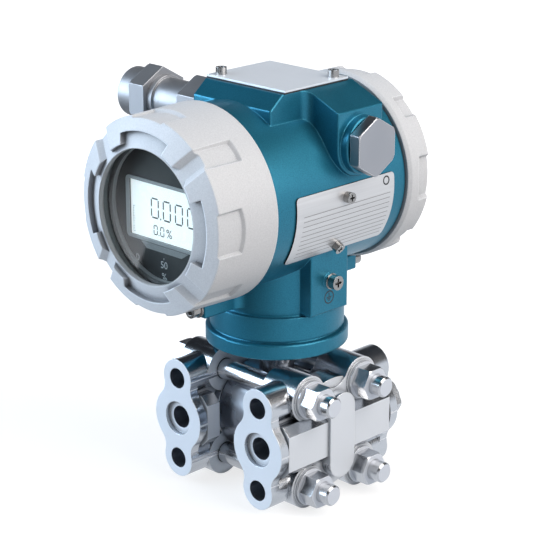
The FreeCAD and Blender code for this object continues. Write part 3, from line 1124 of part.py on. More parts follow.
def grips(name, y, lengths, forward):
    """Grip pockets round a cover's side: wide ones on the axes, narrow ones between them."""
    pockets = []
    for turns, angle, length in ((QUARTERS, "wide_grip_angle", lengths[0]),
                                 (DIAGONALS, "narrow_grip_angle", lengths[1])):
        for turn in turns:
            half = f"(cover_radius * sin({angle} / 2))"
            mouth = f"(cover_radius * cos({angle} / 2))"
            end = f"{y} + ({length}) * {int(forward.y)}"
            radius = FreeCAD.Rotation(Y_AXIS, -turn).multVec(X_AXIS)
            outer = widening_block(f"{name}_outer_{turn}", (f"{half} - tool_margin",
                                                            f"{half} + tool_margin"),
                                   (f"{mouth} - tool_margin", f"{mouth} + tool_margin"),
                                   ("-cover_radius", f"{mouth} - tool_margin - cover_radius",
                                    f"{mouth} + tool_margin - cover_radius"),
                                   FreeCAD.Rotation(radius.cross(forward), radius, forward, "YZX"))
            place(outer, "0", end, "barrel_height", outer.Placement.Rotation)
            inner = cylinder(f"{name}_inner_{turn}", "cover_radius - grip_depth",
                             "barrel_length + 2 * cover_radius",
                             "0", "-cover_radius", "barrel_height", Y_AXIS)
            pockets.append(cut(f"{name}_pocket_{turn}", outer, [inner]))
    return pockets


front_grips = grips("front_grip", COVER_CORNER, ("wide_grip_length", "narrow_grip_length"), Y_AXIS)
front_cover = cut("front_cover", fuse("front_cover_blank", (cover_ring, sectors)), front_grips)

# Rear cover: a blind turned cap with the same grip pockets.
REAR_RIM = f"({BARREL_REAR} + cover_gap)"
REAR_FACE = f"({REAR_RIM} + rear_length)"
REAR_INNER = f"({REAR_RIM} + seal_land_length + rear_thread)"
rear_blank = turned("rear_cover_blank", "XY_Plane", [
    ("seal_land", REAR_RIM), ("rear_rim_radius", REAR_RIM), ("cover_radius",
                                                             f"{REAR_RIM} + rear_rim_bevel"),
    ("cover_radius", f"{REAR_FACE} - edge_bevel"), ("cover_radius - edge_bevel", REAR_FACE),
    ("rear_dish_radius + rear_dish_depth", REAR_FACE), ("rear_dish_radius",
                                                        f"{REAR_FACE} - rear_dish_depth"),
    ("0", f"{REAR_FACE} - rear_dish_depth"), ("0", REAR_INNER), ("spigot_radius + thread_clearance",
                                                                 REAR_INNER),
    ("spigot_radius + thread_clearance", f"{REAR_RIM} + seal_land_length"),
    ("seal_land", f"{REAR_RIM} + seal_land_length")],
    "V_Axis", "0", "0", "barrel_height")
rear_grips = grips("rear_grip", REAR_FACE, ("rear_grip_length", "rear_grip_length"), BACKWARD)
rear_cover = cut("rear_cover", rear_blank, rear_grips)

# Window: glass between two gaskets, held by a ring that screws into the cover.
def front_disc(name, radius, start, length):
    """A disc on the barrel's axis."""
    return cylinder(name, radius, length, "0", start, "barrel_height", Y_AXIS)


window_glass = front_disc("window_glass", "glass_radius", f"{SEAT_FRONT} + glass_gasket", "glass_thickness")
GASKETS = (SEAT_FRONT, f"{SEAT_FRONT} + glass_gasket + glass_thickness")
window_gaskets = group("window_gaskets", [
    washer_disc(f"window_gasket_{k}", "glass_radius", "clamp_ring_inner", "glass_gasket", "0", y,
                "barrel_height", Y_AXIS)
    for k, y in enumerate(GASKETS)])
clamp_ring = washer_disc("glass_clamp_ring", "seat_radius", "clamp_ring_inner", "clamp_ring_thickness",
                         "0", CLAMP_FRONT, "barrel_height", Y_AXIS)


# Cover seals: round rings in the grooves of the two spigots.
def ring_seal(name, y):
    """A round ring of round section."""
    ring = doc.addObject("Part::Torus", name)
    ring.setExpression("Radius1", bind("seal_land - thread_fit - seal_section"))
    ring.setExpression("Radius2", bind("seal_section"))
    return place(ring, "0", y, "barrel_height", turn_to(Y_AXIS))


cover_seals = group("cover_seals", (ring_seal("front_seal", "-barrel_front - seal_offset"),
                                    ring_seal("rear_seal", f"{BARREL_REAR} + seal_offset")))

# Display: a cup-shaped case that can be turned about the barrel's axis, with a dial plate,
# a panel behind its window, a border round the window and a circuit board.
DIAL_Y = "(-dial_front)"
PANEL_Z = "(barrel_height - lcd_drop)"
case_blank = fuse("case_blank", (front_disc("case_round", "case_radius", DIAL_Y, "case_depth"),
                                 front_disc("case_hub", "hub_radius", CASE_REAR, "hub_length")))
display_case = cut("display_case", case_blank, [
    front_disc("dial_seat", "dial_radius", DIAL_Y, "dial_thickness"),
    front_disc("case_cavity", "case_radius - case_wall - edge_bevel", DIAL_Y, "case_depth - case_wall")])
dial_window = box("dial_window", "-lcd_half_width", DIAL_Y, f"{PANEL_Z} - lcd_half_height",
                  "2 * lcd_half_width", "dial_thickness", "2 * lcd_half_height")
dial_plate = cut("dial_plate", front_disc("dial_disc", "dial_radius", DIAL_Y, "dial_thickness"),
                 [dial_window])
lcd_panel = box("lcd_panel", "-lcd_half_width - lcd_margin", f"{DIAL_Y} + dial_thickness",
                f"{PANEL_Z} - lcd_half_height - lcd_margin",
                "2 * (lcd_half_width + lcd_margin)", "lcd_thickness", "2 * (lcd_half_height + lcd_margin)")
frame_x = "(lcd_half_width + frame_width_x)"
frame_z = "(lcd_half_height + frame_width_z)"
frame_slab = round_cornered("frame_slab", (f"-{frame_x}", f"{DIAL_Y} - frame_rise",
                                           f"{PANEL_Z} - {frame_z}"),
                            f"2 * {frame_x}", f"2 * {frame_z}", "frame_rise", "frame_corner", Y_AXIS)
frame_window = box("frame_window", "-lcd_half_width", f"{DIAL_Y} - frame_rise",
                   f"{PANEL_Z} - lcd_half_height",
                   "2 * lcd_half_width", "frame_rise", "2 * lcd_half_height")
lcd_frame = cut("lcd_frame", frame_slab, [frame_window])
display_board = front_disc("display_board", "case_radius - case_wall - edge_bevel",
                           f"{DIAL_Y} + dial_thickness + lcd_thickness",
                           "board_thickness")

# Electronics module, potted, against the wall between the chambers.
module_blank = front_disc("module_blank", "module_radius", MODULE_FRONT,
                          f"partition_front - {MODULE_FRONT}")
electronics_module = cut("electronics_module", module_blank, [
    front_disc("module_socket", "hub_radius + hub_clearance", MODULE_FRONT, "hub_length + running_gap")])

# Terminals in the rear chamber: a block with three clamps between ribs, and an earthing screw.
TERMINAL_FACE = f"({PARTITION_REAR} + block_length)"
block = box("block", "-block_half_width", PARTITION_REAR, BLOCK_BOTTOM, "2 * block_half_width",
            "block_length", "block_height")
RIBS = (-1.5, -0.5, 0.5, 1.5)
ribs = [box(f"rib_{k}", f"{place_x} * terminal_pitch - rib_width / 2", TERMINAL_FACE, BLOCK_BOTTOM,
            "rib_width", "rib_height", "block_height")
        for k, place_x in enumerate(RIBS)]
TERMINAL_Z = f"({BLOCK_BOTTOM} + block_height / 2)"
TERMINALS = (-1, 0, 1)
terminal_holes = [cylinder(f"terminal_hole_{k}", "terminal_shank + screw_fit", "plate_screw_length",
                           f"{k} * terminal_pitch",
                           f"{TERMINAL_FACE} - plate_screw_length", TERMINAL_Z, Y_AXIS) for k in TERMINALS]
terminal_block = cut("terminal_block", fuse("block_blank", [block] + ribs), terminal_holes)
clamps = []
for k in TERMINALS:
    plate = box(f"clamp_plate_{k}", f"{k} * terminal_pitch - clamp_width / 2", TERMINAL_FACE,
                f"{TERMINAL_Z} - clamp_width / 2",
                "clamp_width", "clamp_thickness", "clamp_width")
    hole = cylinder(f"clamp_hole_{k}", "terminal_shank + screw_fit", "clamp_thickness",
                    f"{k} * terminal_pitch", TERMINAL_FACE, TERMINAL_Z, Y_AXIS)
    clamps.append(cut(f"terminal_clamp_{k}", plate, [hole]))
terminal_clamps = group("terminal_clamps", clamps)
terminal_screws = group("terminal_screws", [
    small_screw(f"terminal_screw_{k}", "terminal_head", "pan_height", "terminal_shank",
                "plate_screw_length + clamp_thickness",
              f"{k} * terminal_pitch", f"{TERMINAL_FACE} + clamp_thickness", TERMINAL_Z,
              Y_AXIS) for k in TERMINALS])
inner_earth_screw = small_screw("inner_earth_screw", "plate_screw_head", "pan_height", "plate_screw_shank",
                                "partition_thickness", "-inner_earth_x", PARTITION_REAR,
                                INNER_EARTH_Z, Y_AXIS)

doc.recompute()

PARTS = {
    "high_side_flange": high_flange, "low_side_flange": low_flange, "flange_bolts": flange_bolts,
    "flange_nuts": flange_nuts, "flange_washers": flange_washers, "sensor_capsule": sensor_capsule,
    "isolating_diaphragms": diaphragms, "capsule_gaskets": capsule_gaskets,
    "high_vent_body": high_vent_body,
    "low_vent_body": low_vent_body, "high_vent_stem": high_vent_stem, "low_vent_stem": low_vent_stem,
    "housing": housing, "chamber_wall": chamber_wall, "lock_screws": lock_screws,
    "lock_washers": lock_washers, "set_screw": set_screw,
    "earth_washer": earth_washer, "earth_screw": earth_screw, "top_underlay": top_underlay,
    "top_plate": top_plate,
    "top_plate_screws": top_plate_screws, "side_plate": side_plate, "side_plate_screws": side_plate_screws,
    "conduit_plug_seal": plug_seal, "conduit_plug": conduit_plug, "gland_washer": gland_washer,
    "gland_body": gland_body, "gland_nut": gland_nut, "gland_sleeve": gland_sleeve,
    "front_cover": front_cover,
    "rear_cover": rear_cover, "window_glass": window_glass, "window_gaskets": window_gaskets,
    "glass_clamp_ring": clamp_ring, "cover_seals": cover_seals, "display_case": display_case,
    "dial_plate": dial_plate, "lcd_panel": lcd_panel, "lcd_frame": lcd_frame,
    "display_board": display_board,
    "electronics_module": electronics_module, "terminal_block": terminal_block,
    "terminal_clamps": terminal_clamps,
    "terminal_screws": terminal_screws, "inner_earth_screw": inner_earth_screw,
}

for piece in doc.Objects:
    state = set(piece.State) & {"Invalid", "Error"}
    if state:
        raise RuntimeError("%s did not compute: %s" % (piece.Name, state))
for node, piece in PARTS.items():
    piece.Label = node
    if piece.Shape.isNull() or not piece.Shape.isValid():
        raise RuntimeError("%s is not a valid solid" % node)

os.makedirs("parts", exist_ok=True)
for node, piece in PARTS.items():
    piece.Shape.exportStep("parts/%s.step" % node)
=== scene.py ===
import math

import bmesh
import bpy
from mathutils import Matrix, Vector


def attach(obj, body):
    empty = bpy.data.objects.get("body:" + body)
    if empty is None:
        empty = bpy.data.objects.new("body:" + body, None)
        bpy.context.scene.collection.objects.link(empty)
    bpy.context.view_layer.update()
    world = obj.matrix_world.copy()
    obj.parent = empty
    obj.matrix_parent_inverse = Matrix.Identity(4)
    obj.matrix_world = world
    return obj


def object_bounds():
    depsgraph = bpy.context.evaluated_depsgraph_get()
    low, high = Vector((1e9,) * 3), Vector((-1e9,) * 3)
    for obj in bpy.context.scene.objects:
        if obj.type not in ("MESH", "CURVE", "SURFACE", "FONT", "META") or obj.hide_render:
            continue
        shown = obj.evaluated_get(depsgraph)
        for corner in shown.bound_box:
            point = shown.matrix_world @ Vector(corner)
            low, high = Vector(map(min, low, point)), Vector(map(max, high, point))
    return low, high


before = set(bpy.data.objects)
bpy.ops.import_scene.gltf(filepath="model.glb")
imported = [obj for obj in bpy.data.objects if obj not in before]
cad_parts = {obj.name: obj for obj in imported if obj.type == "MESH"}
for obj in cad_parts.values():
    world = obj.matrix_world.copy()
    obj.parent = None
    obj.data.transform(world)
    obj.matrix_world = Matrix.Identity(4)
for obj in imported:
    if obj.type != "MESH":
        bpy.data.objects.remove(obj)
box_at_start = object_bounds()

# Process flanges: two cast stainless steel bodies that clamp the capsule between them. The
# sealing faces, side pads and bolt seats are ground to a pale matt finish, the rest is polished,
# and the drilled ports and bolt holes are matt and coloured darker inside as painted shade. Inner
# corners get painted shade and outer edges a painted highlight.
MM = 0.001
PORT_X = 27.0 * MM
PORT_WALL = 5.6 * MM
HOLE_Z = 20.65 * MM
HOLE_WALL = 5.1 * MM
FLANGE_POLISHED = (0.62, 0.64, 0.67, 1)
FLANGE_GROUND = (0.71, 0.745, 0.80, 1)
FLANGE_CORNER_SHADE = (0.12, 0.13, 0.15, 1)
FLANGE_EDGE_HIGHLIGHT = (0.92, 0.94, 0.97, 1)
FLANGE_BORE_SHADE = (0.34, 0.36, 0.40, 1)
GROUND_METALLIC = 0.25


def start_material(name):
    """A new material, its node tree and its main shader."""
    material = bpy.data.materials.new(name)
    material.use_nodes = True
    return material, material.node_tree, material.node_tree.nodes["Principled BSDF"]


def set_inputs(tree, node, inputs):
    """Gives a node's inputs a number, a colour or another node's output."""
    for socket, value in inputs.items():
        if isinstance(value, bpy.types.NodeSocket):
            tree.links.new(value, node.inputs[socket])
        else:
            node.inputs[socket].default_value = value


def add_node(tree, kind, inputs=None, **settings):
    """Adds a node with its settings and inputs."""
    made = tree.nodes.new("ShaderNode" + kind)
    for setting, value in settings.items():
        setattr(made, setting, value)
    set_inputs(tree, made, inputs or {})
    return made


def calculate(tree, operation, first, second=0.0):
    """One sum on one or two values."""
    return add_node(tree, "Math", {0: first, 1: second}, operation=operation).outputs[0]


def remap(tree, value, start, end, first=0.0, last=1.0):
    """Turns the range from start to end into the one from first to last, and stops at its ends."""
    ends = {"Value": value, "From Min": start, "From Max": end, "To Min": first, "To Max": last}
    return add_node(tree, "MapRange", ends).outputs["Result"]


def spread(tree, pattern, low=0.0, high=1.0):
    """Stretches the middle part of a random pattern over a range."""
    return remap(tree, pattern, start=0.3, end=0.7, first=low, last=high)


def mix_values(tree, share, first, second):
    """A number between two others."""
    return add_node(tree, "Mix", {"Factor": share, "A": first, "B": second}).outputs["Result"]


def mix_colours(tree, share, first, second):
    """A colour between two others."""
    ends = {"Factor": share, "A": first, "B": second}
    return add_node(tree, "Mix", ends, data_type="RGBA").outputs["Result"]


def noise(tree, scale, detail=2.0, stretch=(1, 1, 1)):
    """A random pattern in the piece's own coordinates."""
    place = add_node(tree, "TexCoord").outputs["Object"]
    stretched = add_node(tree, "Mapping", {"Vector": place, "Scale": stretch}).outputs["Vector"]
    pattern = {"Vector": stretched, "Scale": scale, "Detail": detail}
    return add_node(tree, "TexNoise", pattern).outputs["Fac"]


def position(tree):
    """The three coordinates of a point on the piece."""
    place = add_node(tree, "TexCoord").outputs["Object"]
    return add_node(tree, "SeparateXYZ", {"Vector": place}).outputs


def facing(tree):
    """The three parts of the piece's own surface direction."""
    direction = add_node(tree, "TexCoord").outputs["Normal"]
    return add_node(tree, "SeparateXYZ", {"Vector": direction}).outputs


def flat_face(tree, *axes, nearness=0.9995):
    """1 on flat faces that look along one of the axes, 0 elsewhere."""
    direction = facing(tree)
    along = 0.0
    for axis in axes:
        along = calculate(tree, "MAXIMUM", along, calculate(tree, "ABSOLUTE", direction[axis]))
    return calculate(tree, "GREATER_THAN", along, nearness)


def bore_share(tree, x, z, wall):
    """1 inside a round bore that runs along Y, 0 outside it."""
    squares = calculate(tree, "ADD", calculate(tree, "MULTIPLY", x, x),
                        calculate(tree, "MULTIPLY", z, z))
    return calculate(tree, "LESS_THAN", calculate(tree, "SQRT", squares), wall)


def broken_edge(tree, radius):
    """The surface direction with every edge rounded, and a share that is 1 on those edges."""
    rounded = add_node(tree, "Bevel", {"Radius": radius}, samples=6).outputs["Normal"]
    plain = add_node(tree, "NewGeometry").outputs["Normal"]
    same = add_node(tree, "VectorMath", {0: rounded, 1: plain}, operation="DOT_PRODUCT")
    return rounded, remap(tree, same.outputs["Value"], start=0.97, end=0.80)


def inner_corner(tree, reach, strength):
    """A share for painted shade, highest deep in an inner corner and 0 on open faces and outer
    edges.
    """
    opening = add_node(tree, "AmbientOcclusion", {"Distance": reach}, samples=6).outputs["AO"]
    return calculate(tree, "MULTIPLY", remap(tree, opening, start=0.88, end=0.45), strength)


def roughen(tree, shader, pattern, strength, depth, direction=None):
    """Raises a pattern on the surface."""
    relief = {"Height": pattern, "Strength": strength, "Distance": depth}
    if direction:
        relief["Normal"] = direction
    set_inputs(tree, shader, {"Normal": add_node(tree, "Bump", relief).outputs["Normal"]})


def finish(material, *nodes):
    """Gives pieces of the frame their finish."""
    for node in nodes:
        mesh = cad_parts[node].data
        mesh.materials.clear()
        mesh.materials.append(material)
        mesh.polygons.foreach_set("material_index", [0] * len(mesh.polygons))


flange_steel, tree, shader = start_material("flange_steel")
ground = flat_face(tree, "X", "Y")
point = position(tree)
port_x = calculate(tree, "SUBTRACT", calculate(tree, "ABSOLUTE", point["X"]), PORT_X)
hole_z = calculate(tree, "SUBTRACT", calculate(tree, "ABSOLUTE", point["Z"]), HOLE_Z)
bored = calculate(tree, "MAXIMUM", bore_share(tree, port_x, point["Z"], PORT_WALL),
                  bore_share(tree, port_x, hole_z, HOLE_WALL))
rounded, edge = broken_edge(tree, radius=0.5 * MM)
corner = inner_corner(tree, reach=3.0 * MM, strength=0.75)
outer = calculate(tree, "MULTIPLY", edge, calculate(tree, "SUBTRACT", 1.0, corner))
skin = mix_colours(tree, ground, FLANGE_POLISHED, FLANGE_GROUND)
# Inner corners are coloured darker: painted shade.
skin = mix_colours(tree, corner, skin, FLANGE_CORNER_SHADE)
# Outer edges are coloured paler as a painted highlight, kept out of the inner corners.
skin = mix_colours(tree, outer, skin, FLANGE_EDGE_HIGHLIGHT)
# Inside the ports and bolt holes the colour is darker: painted shade.
skin = mix_colours(tree, bored, skin, FLANGE_BORE_SHADE)
cloud = noise(tree, scale=70.0, detail=4.0)
polish = spread(tree, cloud, low=0.17, high=0.25)
matt = spread(tree, cloud, low=0.42, high=0.52)
dull = calculate(tree, "MAXIMUM", ground, bored)
set_inputs(tree, shader, {"Base Color": skin,
                          "Metallic": mix_values(tree, ground, 1.0, GROUND_METALLIC),
                          "Roughness": mix_values(tree, dull, polish, matt)})
grain = noise(tree, scale=420.0, detail=3.0)
roughen(tree, shader, grain, strength=0.10, depth=0.1 * MM, direction=rounded)
finish(flange_steel, "high_side_flange", "low_side_flange")

# Flange bolts, nuts and washers: bright cold-formed steel. The shanks are smooth and polished, the
# bolt ends are faced flat, and the corners of each hexagon are turned off.
BOLT_POLISHED = (0.60, 0.61, 0.63, 1)
BOLT_FACED = (0.68, 0.71, 0.77, 1)
BOLT_EDGE_HIGHLIGHT = (0.90, 0.92, 0.95, 1)
FACED_METALLIC = 0.55
FACED_ROUGHER = 0.25

bolt_steel, tree, shader = start_material("bolt_steel")
rounded, edge = broken_edge(tree, radius=0.35 * MM)
faced = flat_face(tree, "X")
skin = mix_colours(tree, faced, BOLT_POLISHED, BOLT_FACED)
worn = spread(tree, noise(tree, scale=160.0, detail=4.0), low=0.17, high=0.27)
matt = calculate(tree, "MULTIPLY", faced, FACED_ROUGHER)
# Edges are coloured paler as a painted highlight.
set_inputs(tree, shader, {"Base Color": mix_colours(tree, edge, skin, BOLT_EDGE_HIGHLIGHT),
                          "Metallic": mix_values(tree, faced, 1.0, FACED_METALLIC),
                          "Roughness": calculate(tree, "ADD", worn, matt)})
grain = noise(tree, scale=700.0)
roughen(tree, shader, grain, strength=0.08, depth=0.1 * MM, direction=rounded)
finish(bolt_steel, "flange_bolts", "flange_nuts", "flange_washers")

# Pressure capsule: a welded stainless steel drum with a thin corrugated diaphragm in each end and
# a tube on top that carries the housing. It is turned, so fine grooves run round it.
CAPSULE_GREY = (0.40, 0.42, 0.46, 1)
CAPSULE_EDGE_HIGHLIGHT = (0.75, 0.78, 0.82, 1)

capsule_steel, tree, shader = start_material("capsule_steel")
rounded, edge = broken_edge(tree, radius=0.4 * MM)
cloud = noise(tree, scale=90.0, detail=3.0)
# Edges are coloured paler as a painted highlight.
set_inputs(tree, shader, {"Base Color": mix_colours(tree, edge, CAPSULE_GREY, CAPSULE_EDGE_HIGHLIGHT),
                          "Metallic": 1.0, "Roughness": spread(tree, cloud, low=0.22, high=0.34)})
grooves = noise(tree, scale=900.0, stretch=(6, 1, 1))
roughen(tree, shader, grooves, strength=0.10, depth=0.1 * MM, direction=rounded)
finish(capsule_steel, "sensor_capsule", "isolating_diaphragms")

# Ring gaskets: moulded black rubber rings, pressed between the capsule and the flanges. Only a dark
# seam of each is seen.
RUBBER_BLACK = (0.010, 0.010, 0.011, 1)
RUBBER_WORN = (0.022, 0.022, 0.023, 1)

rubber, tree, shader = start_material("black_rubber")
cloud = noise(tree, scale=300.0, detail=3.0)
set_inputs(tree, shader, {
    "Base Color": mix_colours(tree, cloud, RUBBER_BLACK, RUBBER_WORN),
    "Roughness": spread(tree, noise(tree, scale=200.0), low=0.5, high=0.7)})
roughen(tree, shader, noise(tree, scale=1500.0), strength=0.2, depth=0.1 * MM)
finish(rubber, "capsule_gaskets")

# Vent valves: a stainless steel hexagon screwed into the back of each flange, with a small stem
# that turns in it. Both are turned and lightly polished.
VENT_GREY = (0.60, 0.62, 0.65, 1)
VENT_EDGE_HIGHLIGHT = (0.88, 0.90, 0.93, 1)

vent_steel, tree, shader = start_material("vent_steel")
rounded, edge = broken_edge(tree, radius=0.4 * MM)
cloud = noise(tree, scale=120.0, detail=3.0)
# Edges are coloured paler as a painted highlight.
set_inputs(tree, shader, {"Base Color": mix_colours(tree, edge, VENT_GREY, VENT_EDGE_HIGHLIGHT),
                          "Metallic": 0.75, "Roughness": spread(tree, cloud, low=0.16, high=0.28)})
grooves = noise(tree, scale=800.0, stretch=(1, 4, 1))
roughen(tree, shader, grooves, strength=0.08, depth=0.1 * MM, direction=rounded)
finish(vent_steel, "high_vent_body", "low_vent_body", "high_vent_stem", "low_vent_stem")

# Instrument housing: a die-cast aluminium body, sprayed with a blue-green metallic enamel that has
# a fine orange peel. Its edges are coloured paler: a painted highlight, and partly the thinner
# paint there. The wall between the chambers is painted with it.
ENAMEL_DEEP = (0.013, 0.157, 0.243, 1)
ENAMEL_FLAKE = (0.022, 0.215, 0.332, 1)
ENAMEL_EDGE_HIGHLIGHT = (0.10, 0.42, 0.58, 1)
EDGE_HIGHLIGHT_SHARE = 0.6

enamel, tree, shader = start_material("blue_green_enamel")
rounded, edge = broken_edge(tree, radius=0.9 * MM)
flake = spread(tree, noise(tree, scale=2600.0, detail=1.0))
skin = mix_colours(tree, flake, ENAMEL_DEEP, ENAMEL_FLAKE)
# Inner and outer edges are coloured paler blue: a painted highlight, and partly the thinner paint
# there.
thin = calculate(tree, "MULTIPLY", edge, EDGE_HIGHLIGHT_SHARE)
cloud = noise(tree, scale=50.0, detail=3.0)
set_inputs(tree, shader, {"Base Color": mix_colours(tree, thin, skin, ENAMEL_EDGE_HIGHLIGHT),
                          "Metallic": 0.70, "Roughness": spread(tree, cloud, low=0.33, high=0.41),
                          "Coat Weight": 0.15, "Coat Roughness": 0.25})
orange_peel = noise(tree, scale=1100.0)
roughen(tree, shader, orange_peel, strength=0.22, depth=0.2 * MM, direction=rounded)
finish(enamel, "housing", "chamber_wall")

# Small screws and washers on the housing: nickel-plated steel, with a cross recess or a hexagon
# socket that is dark inside.
SCREW_GREY = (0.38, 0.37, 0.36, 1)
SCREW_EDGE_HIGHLIGHT = (0.85, 0.86, 0.87, 1)

screw_steel, tree, shader = start_material("plated_screw_steel")
rounded, edge = broken_edge(tree, radius=0.2 * MM)
cloud = noise(tree, scale=300.0, detail=3.0)
# Edges are coloured paler as a painted highlight.
set_inputs(tree, shader, {"Base Color": mix_colours(tree, edge, SCREW_GREY, SCREW_EDGE_HIGHLIGHT),
                          "Metallic": 1.0, "Roughness": spread(tree, cloud, low=0.15, high=0.28)})
grain = noise(tree, scale=1200.0)
roughen(tree, shader, grain, strength=0.08, depth=0.05 * MM, direction=rounded)
finish(screw_steel, "lock_screws", "lock_washers", "set_screw", "earth_washer", "earth_screw",
       "top_plate_screws", "side_plate_screws")

# Earth symbol on the pad below the earthing screw: a ring with the three level bars of the plain
# safety-earth sign, printed in black on the paint.
PRINT = 0.03 * MM
PAD_X = 34.0 * MM
SIGN_Y = 40.3 * MM
SIGN_Z = 66.7 * MM
SIGN_RING = (3.2 * MM, 2.65 * MM)
SIGN_STEM = (PRINT, 0.45 * MM, 2.0 * MM)
SIGN_STEM_RISE = 1.3 * MM
SIGN_BAR_HEIGHT = 0.4 * MM
SIGN_BARS = ((3.4 * MM, 0.0), (2.3 * MM, 0.75 * MM), (1.2 * MM, 1.5 * MM))
BLACK_INK = (0.012, 0.014, 0.016, 1)


def print_ink(name, colour, roughness, paler=1.35, uneven=0.06):
    """A thin printed or moulded mark that is a little uneven."""
    material, tree, shader = start_material(name)
    pale = tuple(min(1.0, paler * part) for part in colour[:3]) + (1,)
    patches = noise(tree, scale=500.0)
    set_inputs(tree, shader, {
        "Base Color": mix_colours(tree, noise(tree, scale=900.0, detail=3.0), colour, pale),
        "Roughness": spread(tree, patches, low=roughness - uneven, high=roughness + uneven)})
    return material


def add_block(shape, size, place, turn=Matrix.Identity(4)):
    """Adds a flat block of a size, centred on a place."""
    frame_of_block = Matrix.Translation(place) @ turn @ Matrix.Diagonal((*size, 1))
    bmesh.ops.create_cube(shape, size=1.0, matrix=frame_of_block)


def start_ring(shape, outer, inner, depth, place):
    """Starts a shape with a flat ring, whose axis runs along +Z before it is placed."""
    made = bmesh.ops.create_circle(shape, cap_ends=True, radius=outer, segments=48)
    disc = made["verts"][0].link_faces[0]
    bmesh.ops.inset_region(shape, faces=[disc], thickness=outer - inner, use_even_offset=True,
                           use_boundary=True)
    bmesh.ops.delete(shape, geom=[disc], context="FACES")
    raised = bmesh.ops.extrude_face_region(shape, geom=shape.faces[:])
    lifted = [part for part in raised["geom"] if isinstance(part, bmesh.types.BMVert)]
    bmesh.ops.translate(shape, vec=(0, 0, depth), verts=lifted)
    bmesh.ops.transform(shape, matrix=place, verts=shape.verts)
    bmesh.ops.recalc_face_normals(shape, faces=shape.faces)


def add_piece(name, shape, material, body):
    """Makes a finished shape a piece that moves with one body."""
    mesh = bpy.data.meshes.new(name)
    shape.to_mesh(mesh)
    shape.free()
    mesh.materials.append(material)
    piece = bpy.data.objects.new(name, mesh)
    bpy.context.collection.objects.link(piece)
    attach(piece, body)


black_ink = print_ink("black_ink", BLACK_INK, roughness=0.45)
quarter_turn = Matrix.Rotation(math.radians(90), 4, "Y")
sign = bmesh.new()
start_ring(sign, *SIGN_RING, PRINT, Matrix.Translation((PAD_X, SIGN_Y, SIGN_Z)) @ quarter_turn)
add_block(sign, SIGN_STEM, (PAD_X + PRINT / 2, SIGN_Y, SIGN_Z + SIGN_STEM_RISE))
for width, drop in SIGN_BARS:
    add_block(sign, (PRINT, width, SIGN_BAR_HEIGHT), (PAD_X + PRINT / 2, SIGN_Y, SIGN_Z - drop))
add_piece("earth_sign", sign, black_ink, "housing")

# Top plate: a sheet of white-finished aluminium, cut with its corners taken off. It lies on a thin
# black gasket on top of the housing, and two tall screws hold it.
SHEET_SILVER = (0.76, 0.80, 0.86, 1)
SHEET_WHITE = (0.82, 0.86, 0.92, 1)

white_sheet, tree, shader = start_material("white_sheet")
rounded, edge = broken_edge(tree, radius=0.25 * MM)
cloud = noise(tree, scale=60.0, detail=4.0)
smears = noise(tree, scale=90.0, detail=3.0)
set_inputs(tree, shader, {"Base Color": mix_colours(tree, cloud, SHEET_SILVER, SHEET_WHITE),
                          "Metallic": 0.35, "Roughness": spread(tree, smears, low=0.34, high=0.44)})
grain = noise(tree, scale=1600.0)
roughen(tree, shader, grain, strength=0.06, depth=0.05 * MM, direction=rounded)
finish(white_sheet, "top_plate")
finish(rubber, "top_underlay")

# Side plate: a brushed stainless steel plate, curved round the barrel and ruled with grey lines
# for entries. Its side faces are coloured near black, and a plain ring is printed near its upper
# corner.
BARREL_Z = 115.8 * MM
BARREL_R = 43.4 * MM
PLATE_R = 44.1 * MM
PLATE_FRONT = 0.9 * BARREL_R
LINES_Y = 41.6 * MM
LINE_SIZE = (2 * PRINT, 58.0 * MM, 0.28 * MM)
LINE_COUNT = 10
FIRST_LINE_DEGREES = 3.5
LINE_STEP_DEGREES = 3.1
MARK_Y = 67.6 * MM
MARK_DEGREES = 4.6
MARK_RING = (2.2 * MM, 1.55 * MM)
BRUSHED_GREY = (0.60, 0.60, 0.61, 1)
BRUSHED_PALE = (0.76, 0.77, 0.79, 1)
PLATE_SIDE_BLACK = (0.02, 0.02, 0.02, 1)
GREY_INK = (0.19, 0.19, 0.20, 1)


def distance_faced(tree):
    """How far a point lies from the barrel's axis, counted the way its face looks."""
    point, direction = position(tree), facing(tree)
    above_axis = calculate(tree, "SUBTRACT", point["Z"], BARREL_Z)
    return calculate(tree, "ADD", calculate(tree, "MULTIPLY", point["X"], direction["X"]),
                     calculate(tree, "MULTIPLY", above_axis, direction["Z"]))


def place_on_barrel(y, angle):
    """A place on the plate's face, at an angle below the level of the barrel's axis."""
    return Vector((PLATE_R * math.cos(angle), y, BARREL_Z - PLATE_R * math.sin(angle)))


brushed, tree, shader = start_material("brushed_plate")
front = calculate(tree, "GREATER_THAN", distance_faced(tree), PLATE_FRONT)
grain = noise(tree, scale=900.0, detail=4.0, stretch=(1, 0.02, 1))
bright = mix_colours(tree, grain, BRUSHED_GREY, BRUSHED_PALE)
# Faces that do not look outward, the plate's sides, are coloured near black.
set_inputs(tree, shader, {"Base Color": mix_colours(tree, front, PLATE_SIDE_BLACK, bright),
                          "Metallic": 0.75, "Roughness": spread(tree, grain, low=0.32, high=0.46)})
roughen(tree, shader, grain, strength=0.12, depth=0.1 * MM)
finish(brushed, "side_plate")

grey_ink = print_ink("grey_ink", GREY_INK, roughness=0.5)
lines = bmesh.new()
for number in range(LINE_COUNT):
    below = math.radians(FIRST_LINE_DEGREES + LINE_STEP_DEGREES * number)
    add_block(lines, LINE_SIZE, place_on_barrel(LINES_Y, below), Matrix.Rotation(below, 4, "Y"))
add_piece("side_plate_lines", lines, grey_ink, "housing")

mark = bmesh.new()
above = math.radians(MARK_DEGREES)
outward = (Matrix.Translation(place_on_barrel(MARK_Y, -above)) @ Matrix.Rotation(-above, 4, "Y")
           @ quarter_turn)
start_ring(mark, *MARK_RING, 2 * PRINT, outward)
add_piece("side_plate_ring", mark, black_ink, "housing")

